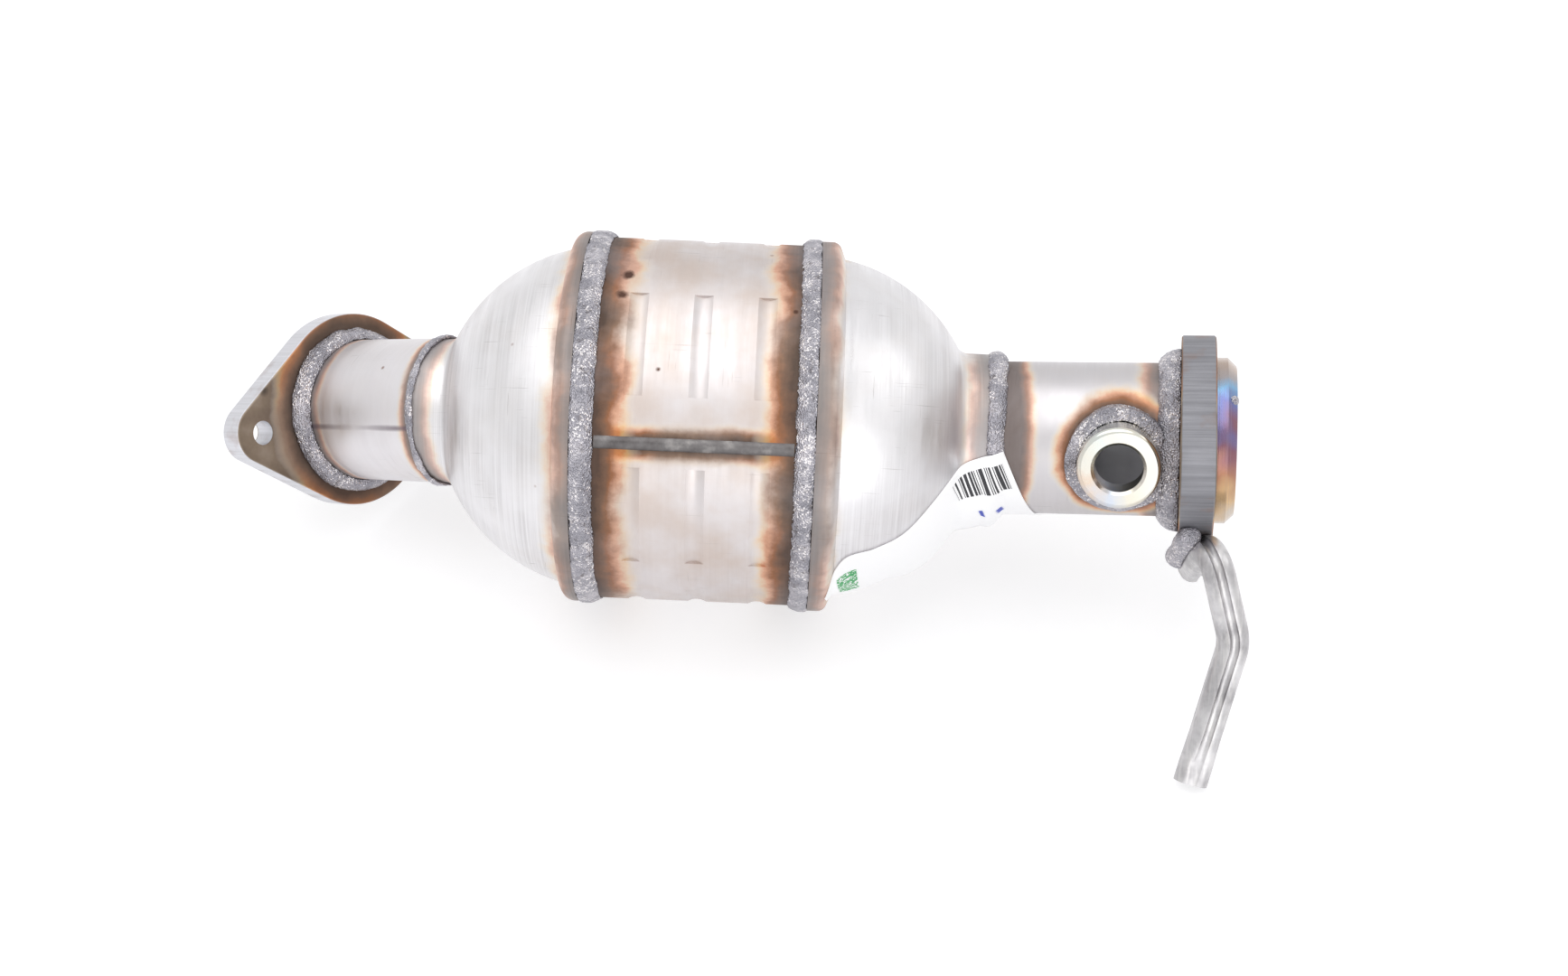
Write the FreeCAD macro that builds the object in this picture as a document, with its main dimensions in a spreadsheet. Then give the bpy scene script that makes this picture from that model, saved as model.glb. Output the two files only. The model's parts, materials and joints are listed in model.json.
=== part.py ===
"""Exhaust catalytic converter: a welded steel can with two pressed domes, a ceramic brick held in a
fibre mat, a bent inlet pipe with a two-bolt flange, an outlet pipe with a round seat flange and a
sensor boss, and a hanger rod.

Frames: X runs along the can's axis towards the outlet and Z is up, as the converter lies on a floor.
The origin is the centre of the outlet flange's joint face. The sub-parts are drawn in three frames:
the can's frame, whose x is the can's axis and whose x-z plane holds both bent pipes, and one frame
for each pipe, whose x is the pipe's axis and whose origin is the centre of its mitre joint.
"""
import FreeCAD, Part
import math
import os
import Sketcher
from FreeCAD import Placement, Rotation, Vector

OUTPUT_FOLDER = "parts"

# Driving dimensions in millimetres and degrees: alias, value, meaning.
DIMENSIONS = [
    ("lie", 45.0, "roll of the weldment about the can's axis as it lies"),
    ("can_radius", 63.0, "outer radius of the rolled can"),
    ("can_wall", 1.5, "sheet thickness of the can"),
    ("can_half_length", 43.0, "half the length of the can"),
    ("rib_depth", 0.9, "depth of the short ribs pressed into the can"),
    ("rib_half_width", 3.2, "half the width of a rib"),
    ("rib_spacing", 21.0, "distance between neighbouring ribs along the can"),
    ("rib_start", -50.2, "angle from the pipes' plane to the start of the first rib group"),
    ("rib_sweep", 34.0, "angle that one rib spans"),
    ("rib_pitch", 50.8, "angle from one rib group to the next"),
    ("seam_angle", -9.0, "angle from the pipes' plane to the can's seam"),
    ("seam_half_width", 2.1, "half the width of the seam's bead"),
    ("seam_height", 1.0, "height of the seam's bead"),
    ("brick_radius", 58.0, "radius of the ceramic brick"),
    ("brick_length", 76.2, "length of the ceramic brick"),
    ("cell_pitch", 9.2, "distance between the brick's gas channels"),
    ("cell_width", 6.6, "width of a gas channel"),
    ("mat_length", 68.0, "length of the fibre mat round the brick"),
    ("mesh_length", 4.0, "length of each wire mesh ring"),
    ("dome_wall", 1.6, "sheet thickness of the domes"),
    ("shoulder_angle", 70.0, "turn of the shoulder between skirt and dome"),
    ("inlet_rim", 40.8, "distance from the can's middle to the inlet dome's rim"),
    ("inlet_shoulder", 42.6, "distance to the start of the inlet dome's shoulder"),
    ("inlet_shoulder_radius", 4.0, "radius of the inlet dome's shoulder"),
    ("inlet_dome_start", 47.2, "distance to the start of the inlet dome's sphere"),
    ("inlet_sphere", 60.2, "radius of the inlet dome's sphere"),
    ("inlet_sphere_centre", 33.0, "distance from the can's middle to that sphere's centre"),
    ("inlet_neck", 25.2, "outer radius of the inlet dome's neck"),
    ("inlet_neck_fillet", 3.0, "radius between the inlet dome and its neck"),
    ("inlet_mitre", 90.1, "distance from the can's middle to the inlet mitre"),
    ("inlet_bend", 37.0, "angle between the can and the inlet pipe"),
    ("inlet_bead", 8.0, "width of the bead between inlet dome and can"),
    ("inlet_bead_crown", 7.1, "radius of that bead's crown"),
    ("outlet_rim", 38.3, "distance from the can's middle to the outlet dome's rim"),
    ("outlet_shoulder", 42.0, "distance to the start of the outlet dome's shoulder"),
    ("outlet_shoulder_radius", 3.2, "radius of the outlet dome's shoulder"),
    ("outlet_dome_start", 46.5, "distance to the start of the outlet dome's sphere"),
    ("outlet_sphere", 59.8, "radius of the outlet dome's sphere"),
    ("outlet_sphere_centre", 35.5, "distance from the can's middle to that sphere's centre"),
    ("outlet_neck", 28.0, "outer radius of the outlet dome's neck"),
    ("outlet_neck_fillet", 5.0, "radius between the outlet dome and its neck"),
    ("outlet_mitre", 101.8, "distance from the can's middle to the outlet mitre"),
    ("outlet_bend", 11.0, "angle between the can and the outlet pipe"),
    ("outlet_rise", 1.2, "small lean of the outlet pipe out of the pipes' plane"),
    ("outlet_drop", 0.8, "offset of the outlet mitre below the can's axis"),
    ("outlet_bead", 6.8, "width of the bead between outlet dome and can"),
    ("outlet_bead_crown", 5.4, "radius of that bead's crown"),
    ("inlet_pipe_radius", 25.4, "outer radius of the inlet pipe"),
    ("outlet_pipe_radius", 26.5, "outer radius of the outlet pipe"),
    ("pipe_wall", 1.5, "wall thickness of both pipes"),
    ("inlet_run", 48.5, "length of the inlet pipe from its mitre to the flange"),
    ("outlet_run", 63.8, "length of the outlet pipe from its mitre to the flange"),
    ("pipe_recess", 2.0, "how far the inlet pipe stops short of the joint face"),
    ("inlet_thickness", 8.5, "thickness of the inlet flange"),
    ("inlet_plate", 35.0, "radius of the inlet flange round the pipe"),
    ("outlet_plate", 36.0, "radius of the outlet flange round the pipe"),
    ("lug_radius", 10.7, "radius of the flanges' lugs"),
    ("bolt_circle", 86.0, "distance between a flange's bolt holes"),
    ("bolt_hole_radius", 4.25, "radius of the flanges' bolt holes"),
    ("inlet_turn", 14.4, "turn of the inlet flange about its pipe"),
    ("outlet_turn", 14.0, "turn of the outlet flange about its pipe"),
    ("edge_break", 0.5, "chamfer round the flanges' outline"),
    ("outlet_thickness", 11.5, "thickness of the outlet flange"),
    ("seat_radius", 28.5, "outer radius of the seat ring"),
    ("seat_tip_radius", 25.6, "radius of the seat ring's tip"),
    ("seat_length", 7.0, "length of the seat ring beyond the outlet flange"),
    ("seat_land", 4.0, "length of the seat ring's straight part"),
    ("boss_station", 44.0, "distance from the outlet mitre to the sensor boss"),
    ("boss_turn", 19.0, "angle from the pipes' plane to the sensor boss"),
    ("boss_radius", 14.0, "outer radius of the sensor boss"),
    ("boss_height", 8.0, "height of the sensor boss above the pipe"),
    ("boss_bore", 8.19, "minor radius of the boss's M18 x 1.5 thread"),
    ("boss_mouth", 9.2, "radius of the countersink at the thread's mouth"),
    ("boss_edge", 1.6, "radius of the boss's rounded edge"),
    ("rod_half_width", 5.3, "half the width of the hanger rod"),
    ("rod_half_depth", 4.8, "half the depth of the hanger rod"),
    ("rod_groove", 1.3, "depth of the rod's two grooves"),
    ("elbow_radius", 7.5, "radius of the rod's upper bend"),
    ("knee_radius", 16.0, "radius of the rod's lower bend"),
]

# Corner points of the hanger rod's centre line in the can's frame.
ROD_LEG_END = Vector(171.4, -43.4, 11.0)
ROD_ELBOW = Vector(170.4, -32.9, 41.5)
ROD_KNEE = Vector(181.2, -66.8, 34.0)
ROD_FOOT = Vector(170.0, -115.5, 26.7)
ROD_TAPER = 9.0
ROD_FLAT = 8.0
ROD_SLIT_DEPTH = 4.0

# The weld metal that ties the rod's leg to the outlet flange, in the can's frame.
ROD_WELD_START = Vector(164.6, -32.6, 33.0)
ROD_WELD_END = Vector(165.4, -39.6, 14.0)
ROD_WELD_RADIUS = 4.2

REACH = 90.0  # size of the tool blocks and the length of the tool cylinders

doc = FreeCAD.newDocument("catalytic_converter")
sheet = doc.addObject("Spreadsheet::Sheet", "Sizes")


class Size:
    """A length or an angle: its number now, and the formula that setExpression gets."""

    def __init__(self, value, text=None):
        self.value = float(value)
        self.text = text if text else repr(float(value))

    def __add__(self, other):
        other = as_size(other)
        return Size(self.value + other.value, f"({self.text} + {other.text})")

    def __sub__(self, other):
        other = as_size(other)
        return Size(self.value - other.value, f"({self.text} - {other.text})")

    def __mul__(self, other):
        other = as_size(other)
        return Size(self.value * other.value, f"({self.text} * {other.text})")

    def __truediv__(self, other):
        other = as_size(other)
        return Size(self.value / other.value, f"({self.text} / {other.text})")

    def __neg__(self):
        return Size(-self.value, f"(0 - {self.text})")

    __radd__ = __add__
    __rmul__ = __mul__


def as_size(number):
    return number if isinstance(number, Size) else Size(number)


def sine(angle):
    return Size(math.sin(math.radians(angle.value)), f"sin({angle.text})")


def cosine(angle):
    return Size(math.cos(math.radians(angle.value)), f"cos({angle.text})")


def tangent(angle):
    return Size(math.tan(math.radians(angle.value)), f"tan({angle.text})")


def root(number):
    return Size(math.sqrt(number.value), f"sqrt({number.text})")


def leg_of(hypotenuse, other_leg):
    """The second short side of a right-angled triangle."""
    return root(hypotenuse * hypotenuse - other_leg * other_leg)


def fill_sheet():
    sizes = {}
    for row, (alias, value, meaning) in enumerate(DIMENSIONS, start=1):
        sheet.set(f"A{row}", meaning)
        sheet.set(f"B{row}", str(value))
        sheet.setAlias(f"B{row}", alias)
        sizes[alias] = Size(value, f"Sizes.{alias}")
    doc.recompute()
    return sizes


def placement(x, y, z, *turns):
    """Text of a placement: a position, then turns such as ("y", angle), applied right to left."""
    position = ["(" + as_size(number).text + ")" for number in (x, y, z)]
    rotation = " * ".join(f"rotation{axis}({as_size(angle).text})" for axis, angle in turns)
    return f"placement(vector({'; '.join(position)}); {rotation})"


def new_body(label, frame):
    body = doc.addObject("PartDesign::Body", label)
    body.Label = label
    body.setExpression("Placement", frame)
    return body


def origin_feature(body, role):
    return [feature for feature in body.Origin.OriginFeatures if feature.Role == role][0]


def new_sketch(body, name, plane, turn=None):
    """A sketch on one of the body's origin planes, turned about the body's x axis if asked."""
    sketch = body.newObject("Sketcher::SketchObject", name)
    sketch.AttachmentSupport = (origin_feature(body, plane), [""])
    sketch.MapMode = "FlatFace"
    if turn is not None:
        sketch.AttachmentOffset = Placement(Vector(), Rotation(Vector(1, 0, 0), turn.value))
        sketch.setExpression("AttachmentOffset.Rotation.Angle", turn.text)
    return sketch


def bind(sketch, constraint, name, size):
    index = sketch.addConstraint(constraint)
    sketch.renameConstraint(index, name)
    sketch.setExpression(f"Constraints.{name}", size.text)


def pin_point(sketch, geometry, vertex, x, y):
    """Fixes one point of the sketch by two bound distances from the sketch's origin."""
    tag = f"{geometry}_{vertex}"
    for axis, size, kind, line in (("x", x, "DistanceX", -2), ("y", y, "DistanceY", -1)):
        if abs(size.value) < 1e-9:
            sketch.addConstraint(Sketcher.Constraint("PointOnObject", geometry, vertex, line))
        else:
            bind(sketch, Sketcher.Constraint(kind, geometry, vertex, size.value), axis + tag, size)


def arc_between(start, end, radius):
    """The short arc from start to end. A positive radius turns left, a negative one turns right."""
    chord = end - start
    left = Vector(-chord.y, chord.x, 0).normalize()
    rise = abs(radius) - math.sqrt(radius ** 2 - (chord.Length / 2) ** 2)
    middle = (start + end) / 2 - left * math.copysign(rise, radius)
    return Part.Arc(start, middle, end)


def outline(sketch, corners):
    """A closed profile. Each corner is (x, y), or (x, y, r) where the side after it is an arc."""
    corners = [[as_size(number) for number in corner] for corner in corners]
    points = [Vector(corner[0].value, corner[1].value, 0) for corner in corners]
    first = sketch.GeometryCount
    ends = []
    for index, corner in enumerate(corners):
        start, end = points[index], points[(index + 1) % len(points)]
        geometry = first + index
        if len(corner) == 3:
            sketch.addGeometry(arc_between(start, end, corner[2].value), False)
            bind(sketch, Sketcher.Constraint("Radius", geometry, abs(corner[2].value)),
                 f"r{geometry}", corner[2] if corner[2].value > 0 else -corner[2])
        else:
            sketch.addGeometry(Part.LineSegment(start, end), False)
        starts_here = (sketch.getPoint(geometry, 1) - start).Length < 1e-6
        ends.append((geometry, 1, 2) if starts_here else (geometry, 2, 1))
    for index, (geometry, head, tail) in enumerate(ends):
        following, next_head, _ = ends[(index + 1) % len(ends)]
        sketch.addConstraint(Sketcher.Constraint("Coincident", geometry, tail, following, next_head))
        pin_point(sketch, geometry, head, corners[index][0], corners[index][1])


def circle(sketch, x, y, radius):
    x, y, radius = as_size(x), as_size(y), as_size(radius)
    geometry = sketch.addGeometry(Part.Circle(Vector(x.value, y.value, 0), Vector(0, 0, 1),
                                              radius.value), False)
    bind(sketch, Sketcher.Constraint("Radius", geometry, radius.value), f"r{geometry}", radius)
    if abs(x.value) < 1e-9 and abs(y.value) < 1e-9:
        sketch.addConstraint(Sketcher.Constraint("Coincident", geometry, 3, -1, 1))
    else:
        pin_point(sketch, geometry, 3, x, y)


def revolve(body, sketch, axis="H_Axis"):
    feature = body.newObject("PartDesign::Revolution", "Revolution")
    feature.Profile = sketch
    feature.ReferenceAxis = (sketch, [axis])
    feature.Angle = 360
    return feature


def pocket_through(body, sketch):
    feature = body.newObject("PartDesign::Pocket", "Pocket")
    feature.Profile = sketch
    feature.Type = "ThroughAll"
    feature.SideType = "Symmetric"
    return feature


def turned_body(label, frame, *profiles, axis="H_Axis", plane="XY_Plane"):
    """A turned piece: its profile, drawn beside the axis, revolved through a full turn."""
    body = new_body(label, frame)
    sketch = new_sketch(body, "Profile", plane)
    for corners in profiles:
        outline(sketch, corners)
    revolve(body, sketch, axis)
    return body


def ring(label, frame, start, end, inner, outer):
    """A plain ring or tube about the frame's x axis."""
    return turned_body(label, frame, [(start, inner), (start, outer), (end, outer), (end, inner)])


def cylinder(label, frame, start, end, radius):
    """A solid cylinder about the frame's x axis, used as a tool."""
    return turned_body(label, frame, [(start, 0), (start, radius), (end, radius), (end, 0)])


def join(kind, label, base, tool):
    """A Part boolean of two objects: Cut, Common or Fuse."""
    result = doc.addObject(f"Part::{kind}", label)
    result.Label = label
    result.Base = base
    result.Tool = tool
    return result


def cut(label, base, *tools):
    """The base less each tool in turn. Only the last result carries the label."""
    for index, tool in enumerate(tools, start=1):
        last = index == len(tools)
        base = join("Cut", label if last else f"{label}_step{index}", base, tool)
    return base


size = fill_sheet()
lie = size["lie"]
can_radius = size["can_radius"]
can_inner = can_radius - size["can_wall"]
dome_wall = size["dome_wall"]
skirt_radius = can_radius + dome_wall
pipe_wall = size["pipe_wall"]
inlet_mitre = size["inlet_mitre"]
outlet_mitre = size["outlet_mitre"]
inlet_lean = size["inlet_bend"] / 2
outlet_lean = size["outlet_bend"] / 2
inlet_pipe_radius = size["inlet_pipe_radius"]
outlet_pipe_radius = size["outlet_pipe_radius"]
outlet_run = size["outlet_run"]
face_station = outlet_run + size["outlet_thickness"]



def in_world(x, y, z):
    """A place in the can's frame as a place in the world's, but measured from the can's middle."""
    return x, y * cosine(lie) - z * sine(lie), y * sine(lie) + z * cosine(lie)


def along_outlet(station):
    """A place on the outlet pipe's axis, in the can's frame."""
    run = station * cosine(size["outlet_rise"])
    return (outlet_mitre + run * cosine(size["outlet_bend"]),
            station * sine(size["outlet_rise"]) - size["outlet_drop"],
            run * sine(size["outlet_bend"]))


# Place of the can's middle: the outlet's joint face is at the origin.
can_x, can_y, can_z = [-distance for distance in in_world(*along_outlet(face_station))]


def frame_at(point, *turns):
    """A placement at a point of the can's frame, with turns that follow the can's own roll."""
    place = [start + step for start, step in zip((can_x, can_y, can_z), in_world(*point))]
    return placement(*place, ("x", lie), *turns)


CAN_FRAME = placement(can_x, can_y, can_z, ("x", lie))
inlet_turns = ("y", as_size(180.0) - size["inlet_bend"])
outlet_turns = [("y", -size["outlet_bend"]), ("z", size["outlet_rise"])]
zero = as_size(0.0)
INLET_FRAME = frame_at((-inlet_mitre, zero, zero), inlet_turns)
INLET_JOINT_FRAME = frame_at((-inlet_mitre, zero, zero), ("y", as_size(180.0) - inlet_lean))
INLET_PLATE_FRAME = frame_at((-inlet_mitre, zero, zero), inlet_turns, ("x", -size["inlet_turn"]))
OUTLET_FRAME = frame_at(along_outlet(zero), *outlet_turns)
OUTLET_JOINT_FRAME = frame_at((outlet_mitre, zero, zero), ("y", -outlet_lean))
OUTLET_PLATE_FRAME = frame_at(along_outlet(zero), *outlet_turns, ("x", size["outlet_turn"]))
BOSS_FRAME = frame_at(along_outlet(size["boss_station"]), *outlet_turns, ("x", size["boss_turn"]))


def make_shell():
    """The can: sheet rolled to a tube, with seven groups of three short ribs pressed in."""
    half = size["can_half_length"]
    shell = ring("shell", CAN_FRAME, -half, half, can_inner, can_radius)
    sketch = new_sketch(shell, "Ribs", "XY_Plane", as_size(90) - size["rib_start"])
    depth, width = size["rib_depth"], size["rib_half_width"]
    skin = can_radius + 0.05
    crown = (width * width + depth * depth) / (depth * 2)
    for step in (-1, 0, 1):
        middle = size["rib_spacing"] * step
        outline(sketch, [(middle - width, skin, crown), (middle + width, skin)])
    groove = shell.newObject("PartDesign::Groove", "Groove")
    groove.Profile = sketch
    groove.ReferenceAxis = (sketch, ["H_Axis"])
    groove.setExpression("Angle", size["rib_sweep"].text)
    groove.Reversed = True
    pattern = shell.newObject("PartDesign::PolarPattern", "PolarPattern")
    pattern.Originals = [groove]
    pattern.Axis = (sketch, ["H_Axis"])
    pattern.Occurrences = 7
    pattern.setExpression("Angle", (size["rib_pitch"] * 6).text)
    shell.Tip = pattern
    return shell


def make_seam():
    """The bead along the can, between the two ring beads."""
    start = -(size["inlet_rim"] - size["inlet_bead"])
    end = size["outlet_rim"] - size["outlet_bead"]
    seam = new_body("shell_seam_weld", frame_at((zero, zero, zero), ("x", -size["seam_angle"])))
    sketch = new_sketch(seam, "Section", "YZ_Plane")
    half, rise = size["seam_half_width"], size["seam_height"]
    foot = leg_of(can_radius, half)
    crown = (half * half + rise * rise) / (rise * 2)
    outline(sketch, [(-half, foot, -can_radius), (half, foot, crown)])
    pad = seam.newObject("PartDesign::Pad", "Pad")
    pad.Profile = sketch
    pad.setExpression("Length", (end - start).text)
    sketch.AttachmentOffset = Placement(Vector(0, 0, start.value), Rotation())
    sketch.setExpression("AttachmentOffset.Base.z", start.text)
    return seam


def dome_sizes(end, grow=0.0):
    """Key places of one dome's outer surface, grown outwards by the given amount."""
    sphere = size[end + "_sphere"] + grow
    centre = size[end + "_sphere_centre"]
    neck = size[end + "_neck"] + grow
    fillet = size[end + "_neck_fillet"] - grow
    far = sphere + fillet
    fillet_x = centre + leg_of(far, neck + fillet)
    tangent_x = centre + (fillet_x - centre) * sphere / far
    tangent_r = (neck + fillet) * sphere / far
    start_x = size[end + "_dome_start"]
    start_r = leg_of(sphere, start_x - centre)
    return sphere, neck, fillet, fillet_x, tangent_x, tangent_r, start_x, start_r


def mirrored(corners, side):
    """The corners with x turned round and the arcs' turns with it, for the inlet end."""
    if side > 0:
        return corners
    return [(-as_size(corner[0]), corner[1], *[-as_size(radius) for radius in corner[2:]])
            for corner in corners]


def cut_neck(body, end, side, grow=0.0):
    """Cuts the neck off along the mitre, without reaching into the dome."""
    lean = inlet_lean if end == "inlet" else outlet_lean
    mitre = size[end + "_mitre"] + as_size(grow) / cosine(lean)
    fillet_x = dome_sizes(end)[3] + grow
    sketch = new_sketch(body, "Mitre", "XZ_Plane")
    half = as_size(REACH / 2)
    if side < 0:
        slope = tangent(lean)
        corners = [(-fillet_x, -half), (-as_size(2 * REACH), -half), (-as_size(2 * REACH), half),
                   (-(mitre + slope * half), half), (-fillet_x, (fillet_x - mitre) / slope)]
    else:
        slope = tangent(lean)
        corners = [(mitre + slope * half, -half), (as_size(2 * REACH), -half),
                   (as_size(2 * REACH), half), (mitre - slope * half, half)]
    outline(sketch, corners)
    pocket_through(body, sketch)


def make_dome(end, side):
    """A pressed dome: a skirt over the can, a shoulder, a sphere and a neck for the pipe."""
    sphere, neck, fillet, fillet_x, tangent_x, tangent_r, start_x, start_r = dome_sizes(end)
    inner = dome_sizes(end, -dome_wall)
    inner_start_x = start_x - 1.0
    inner_start_r = leg_of(inner[0], inner_start_x - size[end + "_sphere_centre"])
    rim, shoulder = size[end + "_rim"], size[end + "_shoulder"]
    bend, turn = size[end + "_shoulder_radius"], size["shoulder_angle"]
    neck_end = size[end + "_mitre"] + 12.0
    corners = [
        (rim, can_radius), (rim, skirt_radius), (shoulder, skirt_radius, -bend),
        (shoulder + bend * sine(turn), skirt_radius - bend + bend * cosine(turn)),
        (start_x, start_r, -sphere), (tangent_x, tangent_r, fillet), (fillet_x, neck),
        (neck_end, neck), (neck_end, inner[1]), (inner[3], inner[1], -inner[2]),
        (inner[4], inner[5], inner[0]), (inner_start_x, inner_start_r),
        (size["can_half_length"] + 0.2, can_radius),
    ]
    dome = turned_body(f"{end}_dome", CAN_FRAME, mirrored(corners, side))
    cut_neck(dome, end, side)
    return dome


def make_inlet_envelope(label, grow, reach):
    """The inlet dome as a solid block, the tool that fits the pipe and its bead to the dome."""
    sphere, neck, fillet, fillet_x, tangent_x, tangent_r, start_x, start_r = dome_sizes("inlet", grow)
    neck_end = inlet_mitre + 14.0
    corners = [(start_x, 0), (start_x, start_r, -sphere), (tangent_x, tangent_r, fillet),
               (fillet_x, neck), (neck_end, neck), (neck_end, 0)]
    envelope = turned_body(label, CAN_FRAME, mirrored(corners, -1))
    cut_neck(envelope, "inlet", -1, reach)
    return envelope


def make_ring_bead(end, side):
    """The bead that fills the corner between a dome's rim and the can."""
    rim, width = size[end + "_rim"], size[end + "_bead"]
    corners = [(rim, can_radius), (rim, skirt_radius, size[end + "_bead_crown"]),
               (rim - width, can_radius)]
    return turned_body(f"{end}_shell_weld", CAN_FRAME, mirrored(corners, side))


def make_brick():
    """The ceramic brick, with rows of square gas channels inside an unbroken rim."""
    brick = new_body("catalyst_brick", CAN_FRAME)
    sketch = new_sketch(brick, "Round", "YZ_Plane")
    circle(sketch, 0, 0, size["brick_radius"])
    pad = brick.newObject("PartDesign::Pad", "Pad")
    pad.Profile = sketch
    pad.SideType = "Symmetric"
    pad.setExpression("Length", size["brick_length"].text)
    pitch, half = size["cell_pitch"], size["cell_width"] / 2
    room = size["brick_radius"].value - 1.5
    rows = int((room - half.value) / pitch.value)
    for row in range(-rows, rows + 1):
        height = abs(row) * pitch.value + half.value
        reach = int((math.sqrt(room ** 2 - height ** 2) - half.value) / pitch.value)
        square = new_sketch(brick, f"Cell_{row + rows}", "YZ_Plane")
        left, low = pitch * -reach, pitch * row
        outline(square, [(left - half, low - half), (left + half, low - half),
                         (left + half, low + half), (left - half, low + half)])
        pocket = pocket_through(brick, square)
        pattern = brick.newObject("PartDesign::LinearPattern", f"Row_{row + rows}")
        pattern.Originals = [pocket]
        pattern.Direction = (square, ["H_Axis"])
        pattern.Occurrences = 2 * reach + 1
        pattern.setExpression("Length", (pitch * (2 * reach)).text)
        brick.Tip = pattern
    return brick


def make_packing():
    """The fibre mat round the brick and the wire mesh rings that guard its two edges."""
    half = size["mat_length"] / 2
    brick_radius = size["brick_radius"]
    mat = ring("support_mat", CAN_FRAME, -half, half, brick_radius, can_inner)
    outer = half + size["mesh_length"]
    inlet_mesh = ring("inlet_mesh_seal", CAN_FRAME, -outer, -half, brick_radius, can_inner)
    outlet_mesh = ring("outlet_mesh_seal", CAN_FRAME, half, outer, brick_radius, can_inner)
    return [mat, inlet_mesh, outlet_mesh]


def make_inlet_pipe(envelope):
    """The inlet pipe: bent away from the can's axis and trimmed to the dome."""
    start = -(inlet_pipe_radius * tangent(inlet_lean) + 0.5)
    end = size["inlet_run"] + size["inlet_thickness"] - size["pipe_recess"]
    blank = ring("inlet_pipe_blank", INLET_FRAME, start, end, inlet_pipe_radius - pipe_wall,
                 inlet_pipe_radius)
    dome_side = cylinder("inlet_mitre_block", INLET_JOINT_FRAME, -40.0, 0, inlet_pipe_radius + 20.0)
    return cut("inlet_pipe", blank, dome_side, envelope)


def make_inlet_neck_weld(envelope):
    """The bead round the joint of inlet pipe and dome, which partly lies on the dome."""
    outer = make_inlet_envelope("inlet_bead_envelope", 1.2, 2.2)
    band = cylinder("inlet_bead_band", INLET_JOINT_FRAME, -0.6, 14.0, inlet_pipe_radius + 8.0)
    sleeve = cylinder("inlet_bead_sleeve", INLET_FRAME, -REACH / 2, REACH / 2,
                      inlet_pipe_radius + 1.2)
    bore = cylinder("inlet_bead_bore", INLET_FRAME, -REACH / 2, REACH / 2, inlet_pipe_radius)
    bead = join("Common", "inlet_bead_blank", join("Common", "inlet_bead_round", outer, sleeve), band)
    return cut("inlet_neck_weld", bead, bore, envelope)


def make_flange(end, frame, bore):
    """A two-bolt plate: a round middle and two lugs, joined by straight flanks."""
    flange = new_body(f"{end}_flange", frame)
    sketch = new_sketch(flange, "Outline", "YZ_Plane")
    middle, lug = size[end + "_plate"], size["lug_radius"]
    far = size["bolt_circle"] / 2
    rise = (middle - lug) / far
    across = leg_of(as_size(1.0), rise)
    outline(sketch, [
        (middle * across, middle * rise), (lug * across, far + lug * rise, lug),
        (-(lug * across), far + lug * rise), (-(middle * across), middle * rise, middle),
        (-(middle * across), -(middle * rise)), (-(lug * across), -(far + lug * rise), lug),
        (lug * across, -(far + lug * rise)), (middle * across, -(middle * rise), middle),
    ])
    start = size[end + "_run"]
    sketch.AttachmentOffset = Placement(Vector(0, 0, start.value), Rotation())
    sketch.setExpression("AttachmentOffset.Base.z", start.text)
    pad = flange.newObject("PartDesign::Pad", "Pad")
    pad.Profile = sketch
    pad.setExpression("Length", size[end + "_thickness"].text)
    doc.recompute()
    chamfer = flange.newObject("PartDesign::Chamfer", "Chamfer")
    chamfer.Base = (pad, ["Face9", "Face10"])
    chamfer.setExpression("Size", size["edge_break"].text)
    holes = new_sketch(flange, "Holes", "YZ_Plane")
    circle(holes, 0, 0, bore)
    for side in (1, -1):
        circle(holes, 0, far * side, size["bolt_hole_radius"])
    pocket_through(flange, holes)
    return flange


def make_fillet_bead(label, frame, radius, start, end, height):
    """A fillet bead round a pipe, tallest at end, where it meets the flange."""
    crown = end - start
    return turned_body(label, frame, [(start, radius), (end, radius), (end, radius + height, crown)])


def make_outlet_pipe():
    """The outlet pipe, cut along its mitre and drilled for the sensor."""
    dome_side = cylinder("outlet_mitre_block", OUTLET_JOINT_FRAME, -30.0, 0, outlet_pipe_radius + 5.0)
    blank = ring("outlet_pipe_blank", OUTLET_FRAME, -6.0, face_station, outlet_pipe_radius - pipe_wall,
                 outlet_pipe_radius)
    drill = turned_body("sensor_drill", BOSS_FRAME,
                        [(0, 0), (size["boss_mouth"], 0), (size["boss_mouth"], REACH / 2), (0, REACH / 2)],
                        axis="V_Axis", plane="XZ_Plane")
    return cut("outlet_pipe", blank, dome_side, drill)


def make_outlet_neck_weld():
    """The bead over the step from the outlet dome's neck down to the pipe."""
    neck, pipe = size["outlet_neck"], outlet_pipe_radius
    blank = turned_body("outlet_bead_blank", OUTLET_JOINT_FRAME, [
        (-3.2, neck - 0.6), (-3.2, neck + 0.2, -4.2), (3.6, pipe + 0.2), (3.6, pipe - 0.6), (0, pipe - 0.6),
        (0, neck - 0.6)])
    neck_core = cylinder("outlet_neck_core", CAN_FRAME, outlet_mitre - 20.0, outlet_mitre + 4.0, neck)
    pipe_side = cylinder("outlet_pipe_side", OUTLET_JOINT_FRAME, 0, 20.0, neck + 8.0)
    neck_core = cut("outlet_neck_tool", neck_core, pipe_side)
    pipe_core = cylinder("outlet_pipe_core", OUTLET_FRAME, -4.0, 20.0, pipe)
    return cut("outlet_neck_weld", blank, neck_core, pipe_core)


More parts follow.
